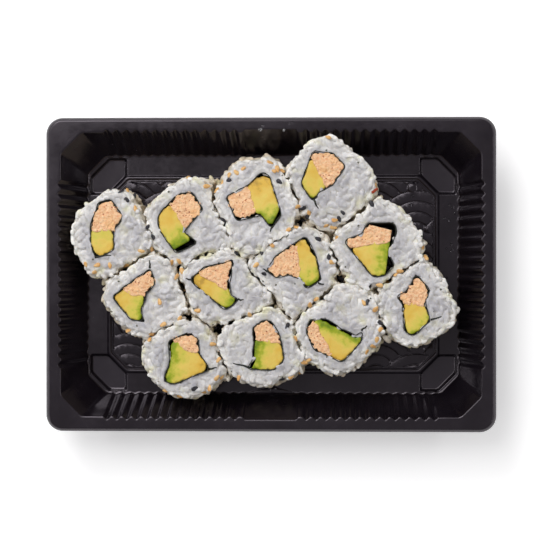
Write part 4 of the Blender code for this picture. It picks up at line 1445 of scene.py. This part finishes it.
# Each lamp's place, its length and width, and its power
LAMPS = (("back_softbox", (-0.40, 0.66, 1.45), 0.9, 0.9, 6.8),
         ("back_key", (-0.48, 1.05, 0.9), 0.7, 0.5, 9.0),
         ("left_strip", (-0.95, 0.05, 0.75), 1.1, 0.1, 3.0),
         ("right_strip", (0.95, 0.05, 0.75), 1.1, 0.1, 2.8))
TABLE_GLOW = 0.3
CAMERA_HEIGHT, CAMERA_SIDE, CAMERA_LENS = 1.4, 0.084, 195.3
AIM = (-0.00005, 0.00216)

floor_mesh = bpy.data.meshes.new("table")
floor_mesh.from_pydata([(x * FLOOR_HALF, y * FLOOR_HALF, FLOOR_LEVEL)
                        for x, y in ((-1, -1), (1, -1), (1, 1), (-1, 1))], [], [(0, 1, 2, 3)])
table = bpy.data.objects.new("table", floor_mesh)
bpy.context.scene.collection.objects.link(table)
floor_mesh.materials.append(new_material(
    "white_table", Roughness=0.9, Base_Color=(0.93, 0.93, 0.93, 1.0),
    Emission_Color=(1.0, 1.0, 1.0, 1.0), Emission_Strength=TABLE_GLOW)[0])

world = bpy.data.worlds.new("soft_sky")
world.use_nodes = True
world.node_tree.nodes["Background"].inputs["Color"].default_value = (*SKY, 1.0)
world.node_tree.nodes["Background"].inputs["Strength"].default_value = SKY_STRENGTH
bpy.context.scene.world = world

for name, place, length, width, power in LAMPS:
    lamp_data = bpy.data.lights.new(name, "AREA")
    lamp_data.shape = "RECTANGLE"
    lamp_data.size = length
    lamp_data.size_y = width
    lamp_data.energy = power
    lamp = bpy.data.objects.new(name, lamp_data)
    lamp.location = place
    lamp.rotation_euler = (-Vector(place)).to_track_quat("-Z", "Y").to_euler()
    bpy.context.scene.collection.objects.link(lamp)

camera_data = bpy.data.cameras.new("camera")
camera_data.lens = CAMERA_LENS
camera_data.clip_start = 0.05
camera = bpy.data.objects.new("camera", camera_data)
camera.location = (CAMERA_SIDE, AIM[1], TRAY_HEIGHT * MM + CAMERA_HEIGHT)
camera.rotation_euler = (0.0, atan2(CAMERA_SIDE - AIM[0], CAMERA_HEIGHT), 0.0)
bpy.context.scene.collection.objects.link(camera)
bpy.context.scene.camera = camera
bpy.context.scene.view_settings.view_transform = "Standard"
